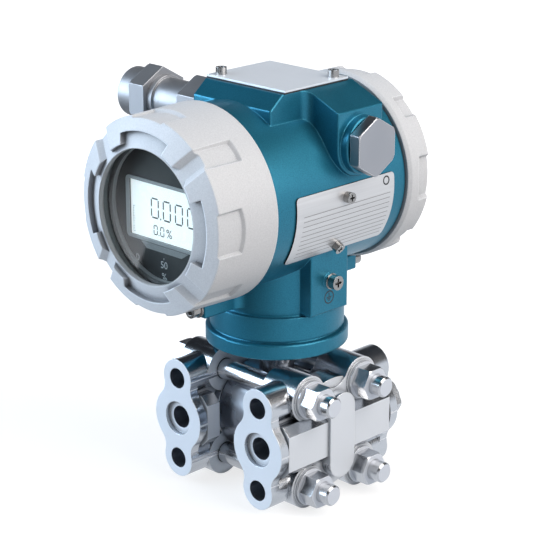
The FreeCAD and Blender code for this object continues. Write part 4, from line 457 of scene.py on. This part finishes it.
# Conduit plug and cable gland: machined stainless steel. The plug closes the right entry, and the
# gland with its cap nut and rubber sleeve waits in the left one. Seals sit under both.
PLUG_GREY = (0.38, 0.39, 0.42, 1)
PLUG_PALE = (0.45, 0.46, 0.49, 1)
PLUG_EDGE_HIGHLIGHT = (0.97, 0.98, 1.0, 1)
PLUG_HIGHLIGHT_METALLIC = 0.6
GLAND_GREY = (0.34, 0.345, 0.365, 1)
GLAND_PALE = (0.40, 0.405, 0.425, 1)
GLAND_EDGE_HIGHLIGHT = (0.90, 0.91, 0.93, 1)

plug_steel, tree, shader = start_material("plug_steel")
rounded, edge = broken_edge(tree, radius=0.9 * MM)
skin = mix_colours(tree, noise(tree, scale=40.0, detail=3.0), PLUG_GREY, PLUG_PALE)
cloud = noise(tree, scale=70.0, detail=3.0)
# Edges are coloured near white and made less metallic as a painted highlight.
set_inputs(tree, shader, {"Base Color": mix_colours(tree, edge, skin, PLUG_EDGE_HIGHLIGHT),
                          "Metallic": mix_values(tree, edge, 1.0, PLUG_HIGHLIGHT_METALLIC),
                          "Roughness": spread(tree, cloud, low=0.32, high=0.42)})
grain = noise(tree, scale=1000.0, detail=3.0)
roughen(tree, shader, grain, strength=0.10, depth=0.1 * MM, direction=rounded)
finish(plug_steel, "conduit_plug")

gland_steel, tree, shader = start_material("gland_steel")
rounded, edge = broken_edge(tree, radius=0.5 * MM)
skin = mix_colours(tree, noise(tree, scale=40.0, detail=3.0), GLAND_GREY, GLAND_PALE)
cloud = noise(tree, scale=70.0, detail=3.0)
# Edges are coloured paler as a painted highlight.
set_inputs(tree, shader, {"Base Color": mix_colours(tree, edge, skin, GLAND_EDGE_HIGHLIGHT),
                          "Metallic": 0.78, "Roughness": spread(tree, cloud, low=0.38, high=0.48)})
grain = noise(tree, scale=1000.0, detail=3.0)
roughen(tree, shader, grain, strength=0.10, depth=0.1 * MM, direction=rounded)
finish(gland_steel, "gland_body", "gland_nut")
finish(rubber, "conduit_plug_seal", "gland_washer", "gland_sleeve")

# Covers: die-cast caps that screw on to the barrel, powder-coated in a pale grey with a fine grain.
# Inside the window rim the front cover is coloured a darker grey, inner corners get painted shade
# and outer edges a painted highlight. A rubber ring seals each of them.
LIP_BACK = -39.6 * MM
RIM_WALL = 31.0 * MM
HOLLOW_WALL = 38.4 * MM
LOOKS_INWARD = -20.0 * MM
LOOKS_BACK = 0.5
CORNER_SHADE = 0.85
COAT_GREY = (0.56, 0.57, 0.595, 1)
COAT_PALE = (0.635, 0.645, 0.67, 1)
COAT_CORNER_SHADE = (0.17, 0.175, 0.19, 1)
COAT_EDGE_HIGHLIGHT = (0.90, 0.93, 0.98, 1)
COVER_INSIDE = (0.50, 0.50, 0.505, 1)

powder, tree, shader = start_material("pale_powder_coat")
rounded, edge = broken_edge(tree, radius=1.0 * MM)
point = position(tree)
above_axis = calculate(tree, "SUBTRACT", point["Z"], BARREL_Z)
rim = bore_share(tree, point["X"], above_axis, RIM_WALL)
hollow = bore_share(tree, point["X"], above_axis, HOLLOW_WALL)
behind = calculate(tree, "GREATER_THAN", point["Y"], LIP_BACK)
ahead = calculate(tree, "LESS_THAN", point["Y"], 0.0)
inward = calculate(tree, "LESS_THAN", distance_faced(tree), LOOKS_INWARD)
backward = calculate(tree, "GREATER_THAN", facing(tree)["Y"], LOOKS_BACK)
hollow = calculate(tree, "MULTIPLY", hollow, calculate(tree, "MAXIMUM", inward, backward))
inside = calculate(tree, "MULTIPLY", calculate(tree, "MULTIPLY", hollow, behind), ahead)
dark = calculate(tree, "MAXIMUM", calculate(tree, "MULTIPLY", rim, ahead), inside)
grain = noise(tree, scale=1500.0)
corner = inner_corner(tree, reach=6.0 * MM, strength=1.0)
outer = calculate(tree, "MULTIPLY", edge, calculate(tree, "SUBTRACT", 1.0, corner))
skin = mix_colours(tree, spread(tree, grain), COAT_GREY, COAT_PALE)
# Inner corners and pocket walls are coloured darker: painted shade.
skin = mix_colours(tree, calculate(tree, "MULTIPLY", corner, CORNER_SHADE), skin, COAT_CORNER_SHADE)
# Outer edges are coloured bluish white as a painted highlight.
skin = mix_colours(tree, outer, skin, COAT_EDGE_HIGHLIGHT)
cloud = noise(tree, scale=80.0, detail=3.0)
set_inputs(tree, shader, {"Base Color": mix_colours(tree, dark, skin, COVER_INSIDE),
                          "Roughness": spread(tree, cloud, low=0.40, high=0.50)})
roughen(tree, shader, grain, strength=0.20, depth=0.2 * MM, direction=rounded)
finish(powder, "front_cover", "rear_cover")
finish(rubber, "cover_seals")

# Window: a disc of toughened glass between two thin gaskets of grey rubber, held by a clamp ring
# that screws in behind it. The ring is anodised in a satin grey.
GLASS_TINT = (0.90, 0.93, 0.93, 1)
GLASS_INDEX = 1.5
ANODISED_GREY = (0.62, 0.62, 0.63, 1)
ANODISED_PALE = (0.70, 0.70, 0.71, 1)
GASKET_DARK = (0.15, 0.15, 0.155, 1)
GASKET_GREY = (0.20, 0.20, 0.205, 1)

glass, tree, shader = start_material("window_glass")
clear = add_node(tree, "BsdfTransparent", {"Color": GLASS_TINT})
smears = remap(tree, noise(tree, scale=30.0, detail=3.0), start=0.4, end=0.7, first=0.02, last=0.06)
shine = add_node(tree, "BsdfGlossy", {"Roughness": smears})
mirror = add_node(tree, "Fresnel", {"IOR": GLASS_INDEX}).outputs["Fac"]
outside = calculate(tree, "SUBTRACT", 1.0, add_node(tree, "NewGeometry").outputs["Backfacing"])
both = add_node(tree, "MixShader", {"Fac": calculate(tree, "MULTIPLY", mirror, outside),
                                    1: clear.outputs["BSDF"], 2: shine.outputs["BSDF"]})
set_inputs(tree, tree.nodes["Material Output"], {"Surface": both.outputs["Shader"]})
finish(glass, "window_glass")

anodised, tree, shader = start_material("grey_anodised")
cloud = noise(tree, scale=200.0, detail=3.0)
set_inputs(tree, shader, {
    "Base Color": mix_colours(tree, cloud, ANODISED_GREY, ANODISED_PALE), "Metallic": 0.3,
    "Roughness": spread(tree, noise(tree, scale=150.0), low=0.35, high=0.5)})
finish(anodised, "glass_clamp_ring")

grey_rubber, tree, shader = start_material("grey_rubber")
cloud = noise(tree, scale=300.0, detail=3.0)
set_inputs(tree, shader, {
    "Base Color": mix_colours(tree, cloud, GASKET_DARK, GASKET_GREY),
    "Roughness": spread(tree, noise(tree, scale=200.0), low=0.45, high=0.6)})
finish(grey_rubber, "window_gaskets")

# Display: a turning case of black plastic behind the glass. Its dial plate is satin black, and a
# grey frame with painted highlights on its edges borders the liquid crystal panel. The panel's glow
# is painted light that keeps it bright behind the glass.
CASE_BLACK = (0.016, 0.016, 0.018, 1)
CASE_WORN = (0.026, 0.026, 0.028, 1)
BORDER_GREY = (0.33, 0.33, 0.335, 1)
BORDER_PALE = (0.39, 0.39, 0.395, 1)
BORDER_EDGE_HIGHLIGHT = (0.55, 0.55, 0.56, 1)
PANEL_SHADED = (0.87, 0.88, 0.875, 1)
PANEL_BRIGHT = (0.92, 0.925, 0.92, 1)
BOARD_GREEN = (0.015, 0.10, 0.045, 1)
BOARD_PALE = (0.02, 0.13, 0.06, 1)
BOARD_TRACKS = (0.04, 0.20, 0.10, 1)
PANEL_PAINTED_GLOW = 0.62

black_plastic, tree, shader = start_material("black_plastic")
cloud = noise(tree, scale=400.0, detail=3.0)
set_inputs(tree, shader, {
    "Base Color": mix_colours(tree, cloud, CASE_BLACK, CASE_WORN),
    "Roughness": spread(tree, noise(tree, scale=250.0), low=0.38, high=0.5)})
roughen(tree, shader, noise(tree, scale=1400.0), strength=0.08, depth=0.1 * MM)
finish(black_plastic, "display_case", "dial_plate", "electronics_module", "terminal_block")

grey_plastic, tree, shader = start_material("grey_plastic")
rounded, edge = broken_edge(tree, radius=0.25 * MM)
skin = mix_colours(tree, noise(tree, scale=300.0, detail=3.0), BORDER_GREY, BORDER_PALE)
set_inputs(tree, shader, {
    # Edges are coloured paler as a painted highlight.
    "Base Color": mix_colours(tree, edge, skin, BORDER_EDGE_HIGHLIGHT),
    "Roughness": spread(tree, noise(tree, scale=250.0), low=0.34, high=0.44)})
grain = noise(tree, scale=1400.0)
roughen(tree, shader, grain, strength=0.06, depth=0.1 * MM, direction=rounded)
finish(grey_plastic, "lcd_frame")

panel, tree, shader = start_material("glowing_panel")
# The panel glows as painted light, so that it stays bright behind the glass.
glow = mix_colours(tree, noise(tree, scale=35.0), PANEL_SHADED, PANEL_BRIGHT)
set_inputs(tree, shader, {
    "Base Color": glow, "Emission Color": glow, "Emission Strength": PANEL_PAINTED_GLOW,
    "Roughness": spread(tree, noise(tree, scale=200.0), low=0.22, high=0.30)})
finish(panel, "lcd_panel")

board, tree, shader = start_material("circuit_board")
tracks = add_node(tree, "TexBrick", {
    "Vector": add_node(tree, "TexCoord").outputs["Object"], "Scale": 260.0,
    "Color1": BOARD_GREEN, "Color2": BOARD_PALE, "Mortar": BOARD_TRACKS})
set_inputs(tree, shader, {"Base Color": tracks.outputs["Color"], "Roughness": 0.35})
finish(board, "display_board")

# Figures of the panel: dark segments under its glass. The upper row shows four figures and the
# lower one a smaller pair, each with a decimal point, and a fine scale stands at the left.
PANEL_Y = -31.0 * MM
NOUGHT = ((0.5, 1.0), (0.5, 0.0), (0.0, 0.75), (1.0, 0.75), (0.0, 0.25), (1.0, 0.25))
LEVEL_SHARE, UPRIGHT_SHARE = 0.86, 0.40
FIGURE_LEFTS = (-8.5, -0.7, 7.1, 14.9)
FIGURE_LOW, FIGURE_WIDTH, FIGURE_HEIGHT, FIGURE_STROKE = 111.7 * MM, 5.2 * MM, 9.5 * MM, 0.72 * MM
FIGURE_POINT = (-2.2 * MM, 112.1 * MM, 0.8 * MM, 0.8 * MM)
SMALL_LEFTS = (-7.0, -2.7)
SMALL_LOW, SMALL_WIDTH, SMALL_HEIGHT, SMALL_STROKE = 104.1 * MM, 2.7 * MM, 4.6 * MM, 0.5 * MM
SMALL_POINT = (-3.5 * MM, 104.35 * MM, 0.5 * MM, 0.5 * MM)
SCALE_X = -20.3 * MM
SCALE_LINE = (SCALE_X, 109.1 * MM, 0.18 * MM, 12.0 * MM)
SCALE_LOW = 103.2 * MM
SCALE_STEP = 1.18 * MM
TICK_COUNT, LONG_EVERY = 11, 5
LONG_TICK, SHORT_TICK, TICK_HEIGHT = 1.3 * MM, 0.8 * MM, 0.22 * MM
SEGMENT_INK = (0.045, 0.050, 0.052, 1)
PALE_INK = (0.24, 0.25, 0.26, 1)


def add_bar(shape, face, x, z, width, height):
    """Adds a flat bar on a face that looks along -Y."""
    add_block(shape, (width, PRINT, height), (x, face - PRINT / 2, z))


def add_nought(shape, left, low, width, height, stroke):
    """Adds a nought of seven-segment form, with its bottom left corner at a place."""
    reach, rise = width - stroke, height - stroke
    for across, up in NOUGHT:
        level = across == 0.5
        long, tall = (LEVEL_SHARE * reach, stroke) if level else (stroke, UPRIGHT_SHARE * rise)
        add_bar(shape, PANEL_Y, left + stroke / 2 + across * reach, low + stroke / 2 + up * rise,
                long, tall)


def take_corners_off(shape, offset):
    """Takes off the corners of every bar, so that its ends come to a blunt point."""
    corners = [edge for edge in shape.edges
               if abs(edge.verts[0].co.y - edge.verts[1].co.y) > PRINT / 2]
    bmesh.ops.bevel(shape, geom=corners, offset=offset, offset_type="OFFSET", segments=1,
                    profile=0.5, affect="EDGES", material=-1)


segment_ink = print_ink("segment_ink", SEGMENT_INK, roughness=0.35)
figures = bmesh.new()
for left in FIGURE_LEFTS:
    add_nought(figures, left * MM, FIGURE_LOW, FIGURE_WIDTH, FIGURE_HEIGHT, FIGURE_STROKE)
add_bar(figures, PANEL_Y, *FIGURE_POINT)
take_corners_off(figures, 0.3 * FIGURE_STROKE)
add_piece("panel_figures", figures, segment_ink, "display")

small = bmesh.new()
for left in SMALL_LEFTS:
    add_nought(small, left * MM, SMALL_LOW, SMALL_WIDTH, SMALL_HEIGHT, SMALL_STROKE)
add_bar(small, PANEL_Y, *SMALL_POINT)
take_corners_off(small, 0.24 * SMALL_STROKE)
add_piece("panel_small_figures", small, segment_ink, "display")

scale = bmesh.new()
add_bar(scale, PANEL_Y, *SCALE_LINE)
for step in range(TICK_COUNT):
    length = LONG_TICK if step % LONG_EVERY == 0 else SHORT_TICK
    add_bar(scale, PANEL_Y, SCALE_X + length / 2, SCALE_LOW + SCALE_STEP * step, length,
            TICK_HEIGHT)
pale_ink = print_ink("pale_ink", PALE_INK, roughness=0.5)
add_piece("panel_scale", scale, pale_ink, "display")

# Marks of the dial plate: thin grey figures of a scale in per cent, a tick, and a plain grey label
# below the panel. The panel's own per cent sign is set in the same letters.
DIAL_Y = -31.6 * MM
DIAL_FIGURE_HEIGHT = 3.3 * MM
DIAL_FIGURES = (("0", -17.4, 89.9), ("50", 0.1, 89.8), ("100", 17.4, 89.9), ("%", 0.1, 84.4))
DIAL_TICK = (0.1 * MM, 94.3 * MM, 0.3 * MM, 0.9 * MM)
UNIT_HEIGHT, UNIT_X, UNIT_Z = 4.0 * MM, 3.2 * MM, 104.4 * MM
LABEL_Z, LABEL_HEIGHT = 98.45 * MM, 2.9 * MM
LABEL_TOP_X, LABEL_TOP_WIDTH = 0.6 * MM, 30.8 * MM
LABEL_FOOT_X, LABEL_FOOT_WIDTH = 0.3 * MM, 22.8 * MM
DIAL_INK = (0.45, 0.45, 0.46, 1)
LABEL_INK = (0.22, 0.22, 0.225, 1)


def add_text(shape, words, height, x, z, face, capital_share=0.7):
    """Adds upright lettering on a face that looks along -Y."""
    curve = bpy.data.curves.new("lettering", "FONT")
    curve.body = words
    curve.size = height / capital_share
    curve.align_x = "CENTER"
    curve.extrude = PRINT / 2
    curve.resolution_u = 4
    writing = bpy.data.objects.new("lettering", curve)
    mesh = bpy.data.meshes.new_from_object(writing)
    upright = Matrix.Rotation(math.radians(90), 4, "X")
    mesh.transform(Matrix.Translation((x, face - PRINT / 2, z)) @ upright)
    shape.from_mesh(mesh)
    bpy.data.objects.remove(writing)
    bpy.data.curves.remove(curve)
    bpy.data.meshes.remove(mesh)


dial_ink = print_ink("dial_ink", DIAL_INK, roughness=0.5)
marks = bmesh.new()
for words, x, z in DIAL_FIGURES:
    add_text(marks, words, DIAL_FIGURE_HEIGHT, x * MM, z * MM, DIAL_Y)
add_bar(marks, DIAL_Y, *DIAL_TICK)
add_piece("dial_marks", marks, dial_ink, "display")

unit = bmesh.new()
add_text(unit, "%", UNIT_HEIGHT, UNIT_X, UNIT_Z, PANEL_Y)
add_piece("panel_unit", unit, segment_ink, "display")

label = bmesh.new()
add_block(label, (LABEL_TOP_WIDTH, 2 * PRINT, LABEL_HEIGHT), (LABEL_TOP_X, DIAL_Y - PRINT, LABEL_Z))
for vert in label.verts:
    if vert.co.z < LABEL_Z:
        vert.co.x = LABEL_FOOT_X + math.copysign(LABEL_FOOT_WIDTH / 2, vert.co.x)
label_ink = print_ink("label_ink", LABEL_INK, roughness=0.45)
add_piece("dial_label", label, label_ink, "display")

# Terminals: nickel-plated clamp plates and screws on the black block in the rear chamber, with an
# earthing screw in the chamber's wall. They are stamped and cold formed.
finish(screw_steel, "terminal_clamps", "terminal_screws", "inner_earth_screw")

# Stage: a plain pale floor. To the camera and through glass it is near white, and the plain part
# below that keeps the shadow of the instrument. In reflections it glows instead, darker towards the
# left front as painted shade, and a glowing patch in front is a painted reflection of a white card.
FLOOR_REACH = 6.0
FLOOR_GREY = (0.36, 0.36, 0.36, 1)
CAMERA_WHITE = (1, 1, 1, 1)
PAINTED_REFLECTION_WHITE = (0.90, 0.94, 1.0, 1)
PAINTED_REFLECTION_SLANT = 0.887
PAINTED_REFLECTION_POWER = 4.0

floor_shape = bmesh.new()
bmesh.ops.create_grid(floor_shape, x_segments=1, y_segments=1, size=FLOOR_REACH)
floor_mesh = bpy.data.meshes.new("floor")
floor_shape.to_mesh(floor_mesh)
floor_shape.free()
floor = bpy.data.objects.new("floor", floor_mesh)
floor.location = (0, 0, box_at_start[0].z)
bpy.context.collection.objects.link(floor)


def seen_by_camera(tree, ray):
    """1 for what the camera sees, also through the glass, and 0 for every other ray."""
    return calculate(tree, "MAXIMUM", ray["Is Camera Ray"], ray["Is Transmission Ray"])


pale, tree, shader = start_material("pale_floor")
tree.nodes.remove(shader)
ray = add_node(tree, "LightPath").outputs
point = position(tree)
place = add_node(tree, "TexCoord").outputs["Object"]
distance = add_node(tree, "VectorMath", {0: place}, operation="LENGTH").outputs["Value"]
shown = remap(tree, distance, start=0.20, end=0.6, first=0.72, last=1.0)
plain = add_node(tree, "BsdfDiffuse", {"Color": FLOOR_GREY})
white = add_node(tree, "Emission", {
    "Color": CAMERA_WHITE,
    "Strength": calculate(tree, "MULTIPLY", seen_by_camera(tree, ray), shown)})
together = add_node(tree, "AddShader", {0: plain.outputs["BSDF"], 1: white.outputs["Emission"]})

# In reflections the floor glows less towards the left front: painted shade.
rightward = calculate(tree, "ADD", point["X"], point["Y"])
side = remap(tree, rightward, start=-0.30, end=0.15, first=0.12, last=0.95)
# A glowing patch in front, seen only in reflections, is a painted reflection of a white card for
# the window.
slanted = calculate(tree, "MULTIPLY", point["Y"], PAINTED_REFLECTION_SLANT)
across_reflection = calculate(tree, "SUBTRACT", slanted, point["X"])
painted_reflection = calculate(tree, "MULTIPLY", remap(tree, across_reflection, start=0.034, end=0.036),
                 remap(tree, across_reflection, start=0.17, end=0.14))
fade = calculate(tree, "POWER", remap(tree, point["Y"], start=-0.50, end=-0.27), 2.0)
near_end = remap(tree, point["Y"], start=-0.20, end=-0.24)
painted_reflection = calculate(tree, "MULTIPLY", painted_reflection, calculate(tree, "MULTIPLY", fade, near_end))
painted_reflection = calculate(tree, "MULTIPLY", painted_reflection, PAINTED_REFLECTION_POWER)
floor_in_reflections = add_node(tree, "Emission", {"Color": PAINTED_REFLECTION_WHITE,
                                       "Strength": calculate(tree, "ADD", side, painted_reflection)})
surface = add_node(tree, "MixShader", {"Fac": ray["Is Glossy Ray"], 1: together.outputs["Shader"],
                                       2: floor_in_reflections.outputs["Emission"]})
set_inputs(tree, tree.nodes["Material Output"], {"Surface": surface.outputs["Shader"]})
floor_mesh.materials.append(pale)

# Studio: a white backdrop for the camera. Metal and glass reflect a pale band at the height of the
# horizon under a dark ceiling, as in a tent of white cloth that is open at the top.
TENT_WHITE = (0.86, 0.90, 0.97, 1)
CEILING_DARK = (0.030, 0.034, 0.042, 1)
SOFT_LIGHT = (0.80, 0.83, 0.87, 1)
SOFT_POWER = 0.36

world = bpy.data.worlds.new("studio")
bpy.context.scene.world = world
world.use_nodes = True
tree = world.node_tree
ray = add_node(tree, "LightPath").outputs
sky = add_node(tree, "TexCoord").outputs["Generated"]
look = add_node(tree, "SeparateXYZ", {"Vector": sky}).outputs
ceiling = remap(tree, look["Z"], start=0.08, end=0.34)
rightward = calculate(tree, "ADD", look["X"], look["Y"])
side = remap(tree, rightward, start=-1.2, end=0.7, first=0.25, last=1.0)
tent = mix_colours(tree, ceiling, TENT_WHITE, CEILING_DARK)
reflected = add_node(tree, "Background", {"Color": tent, "Strength": side})
soft = add_node(tree, "Background", {"Color": SOFT_LIGHT, "Strength": SOFT_POWER})
backdrop = add_node(tree, "Background", {"Color": CAMERA_WHITE, "Strength": 1.0})
lit = add_node(tree, "MixShader", {"Fac": ray["Is Glossy Ray"], 1: soft.outputs["Background"],
                                   2: reflected.outputs["Background"]})
studio = add_node(tree, "MixShader", {"Fac": seen_by_camera(tree, ray), 1: lit.outputs["Shader"],
                                      2: backdrop.outputs["Background"]})
set_inputs(tree, tree.nodes["World Output"], {"Surface": studio.outputs["Shader"]})

# Lamps: three soft boxes, a warm one at the right, a cool one at the left front and a small one
# above. Each is a plain rectangle that looks at the middle of the instrument.
LAMP_TARGET = Vector((0, 0.03, 0.07))
LAMPS = (("right_lamp", (1.02, 0.30, 0.78), 1.0, 1.0, 15.0, (1.0, 0.95, 0.90)),
         ("left_lamp", (-0.85, -0.95, 0.42), 1.4, 1.0, 26.0, (0.69, 0.84, 1.0)),
         ("top_lamp", (0.10, 0.25, 1.20), 0.6, 0.6, 3.0, (0.95, 0.98, 1.0)))

for name, place, width, height, power, colour in LAMPS:
    lamp = bpy.data.lights.new(name, "AREA")
    lamp.shape = "RECTANGLE"
    lamp.size, lamp.size_y = width, height
    lamp.energy = power
    lamp.color = colour
    light = bpy.data.objects.new(name, lamp)
    light.location = place
    light.rotation_euler = (LAMP_TARGET - Vector(place)).to_track_quat("-Z", "Y").to_euler()
    bpy.context.collection.objects.link(light)

# Camera: a long lens at the photograph's place, a little above the instrument and to the right of
# its window.
PICTURE_WIDTH = 540
FOCAL_PIXELS = 1854.16
SENSOR_WIDTH = 36.0
NEAREST_SEEN = 0.05
CAMERA_PLACE = (0.58133, -0.55855, 0.35152)
AZIMUTH = math.radians(44.36)
ELEVATION = math.radians(18.52)

camera_data = bpy.data.cameras.new("camera")
camera_data.sensor_width = SENSOR_WIDTH
camera_data.lens = FOCAL_PIXELS / PICTURE_WIDTH * SENSOR_WIDTH
camera_data.clip_start = NEAREST_SEEN
camera = bpy.data.objects.new("camera", camera_data)
back = Vector((math.sin(AZIMUTH) * math.cos(ELEVATION), -math.cos(AZIMUTH) * math.cos(ELEVATION),
               math.sin(ELEVATION)))
camera.location = CAMERA_PLACE
camera.rotation_euler = back.to_track_quat("Z", "Y").to_euler()
bpy.context.collection.objects.link(camera)
bpy.context.scene.camera = camera
bpy.context.scene.view_settings.view_transform = "Standard"
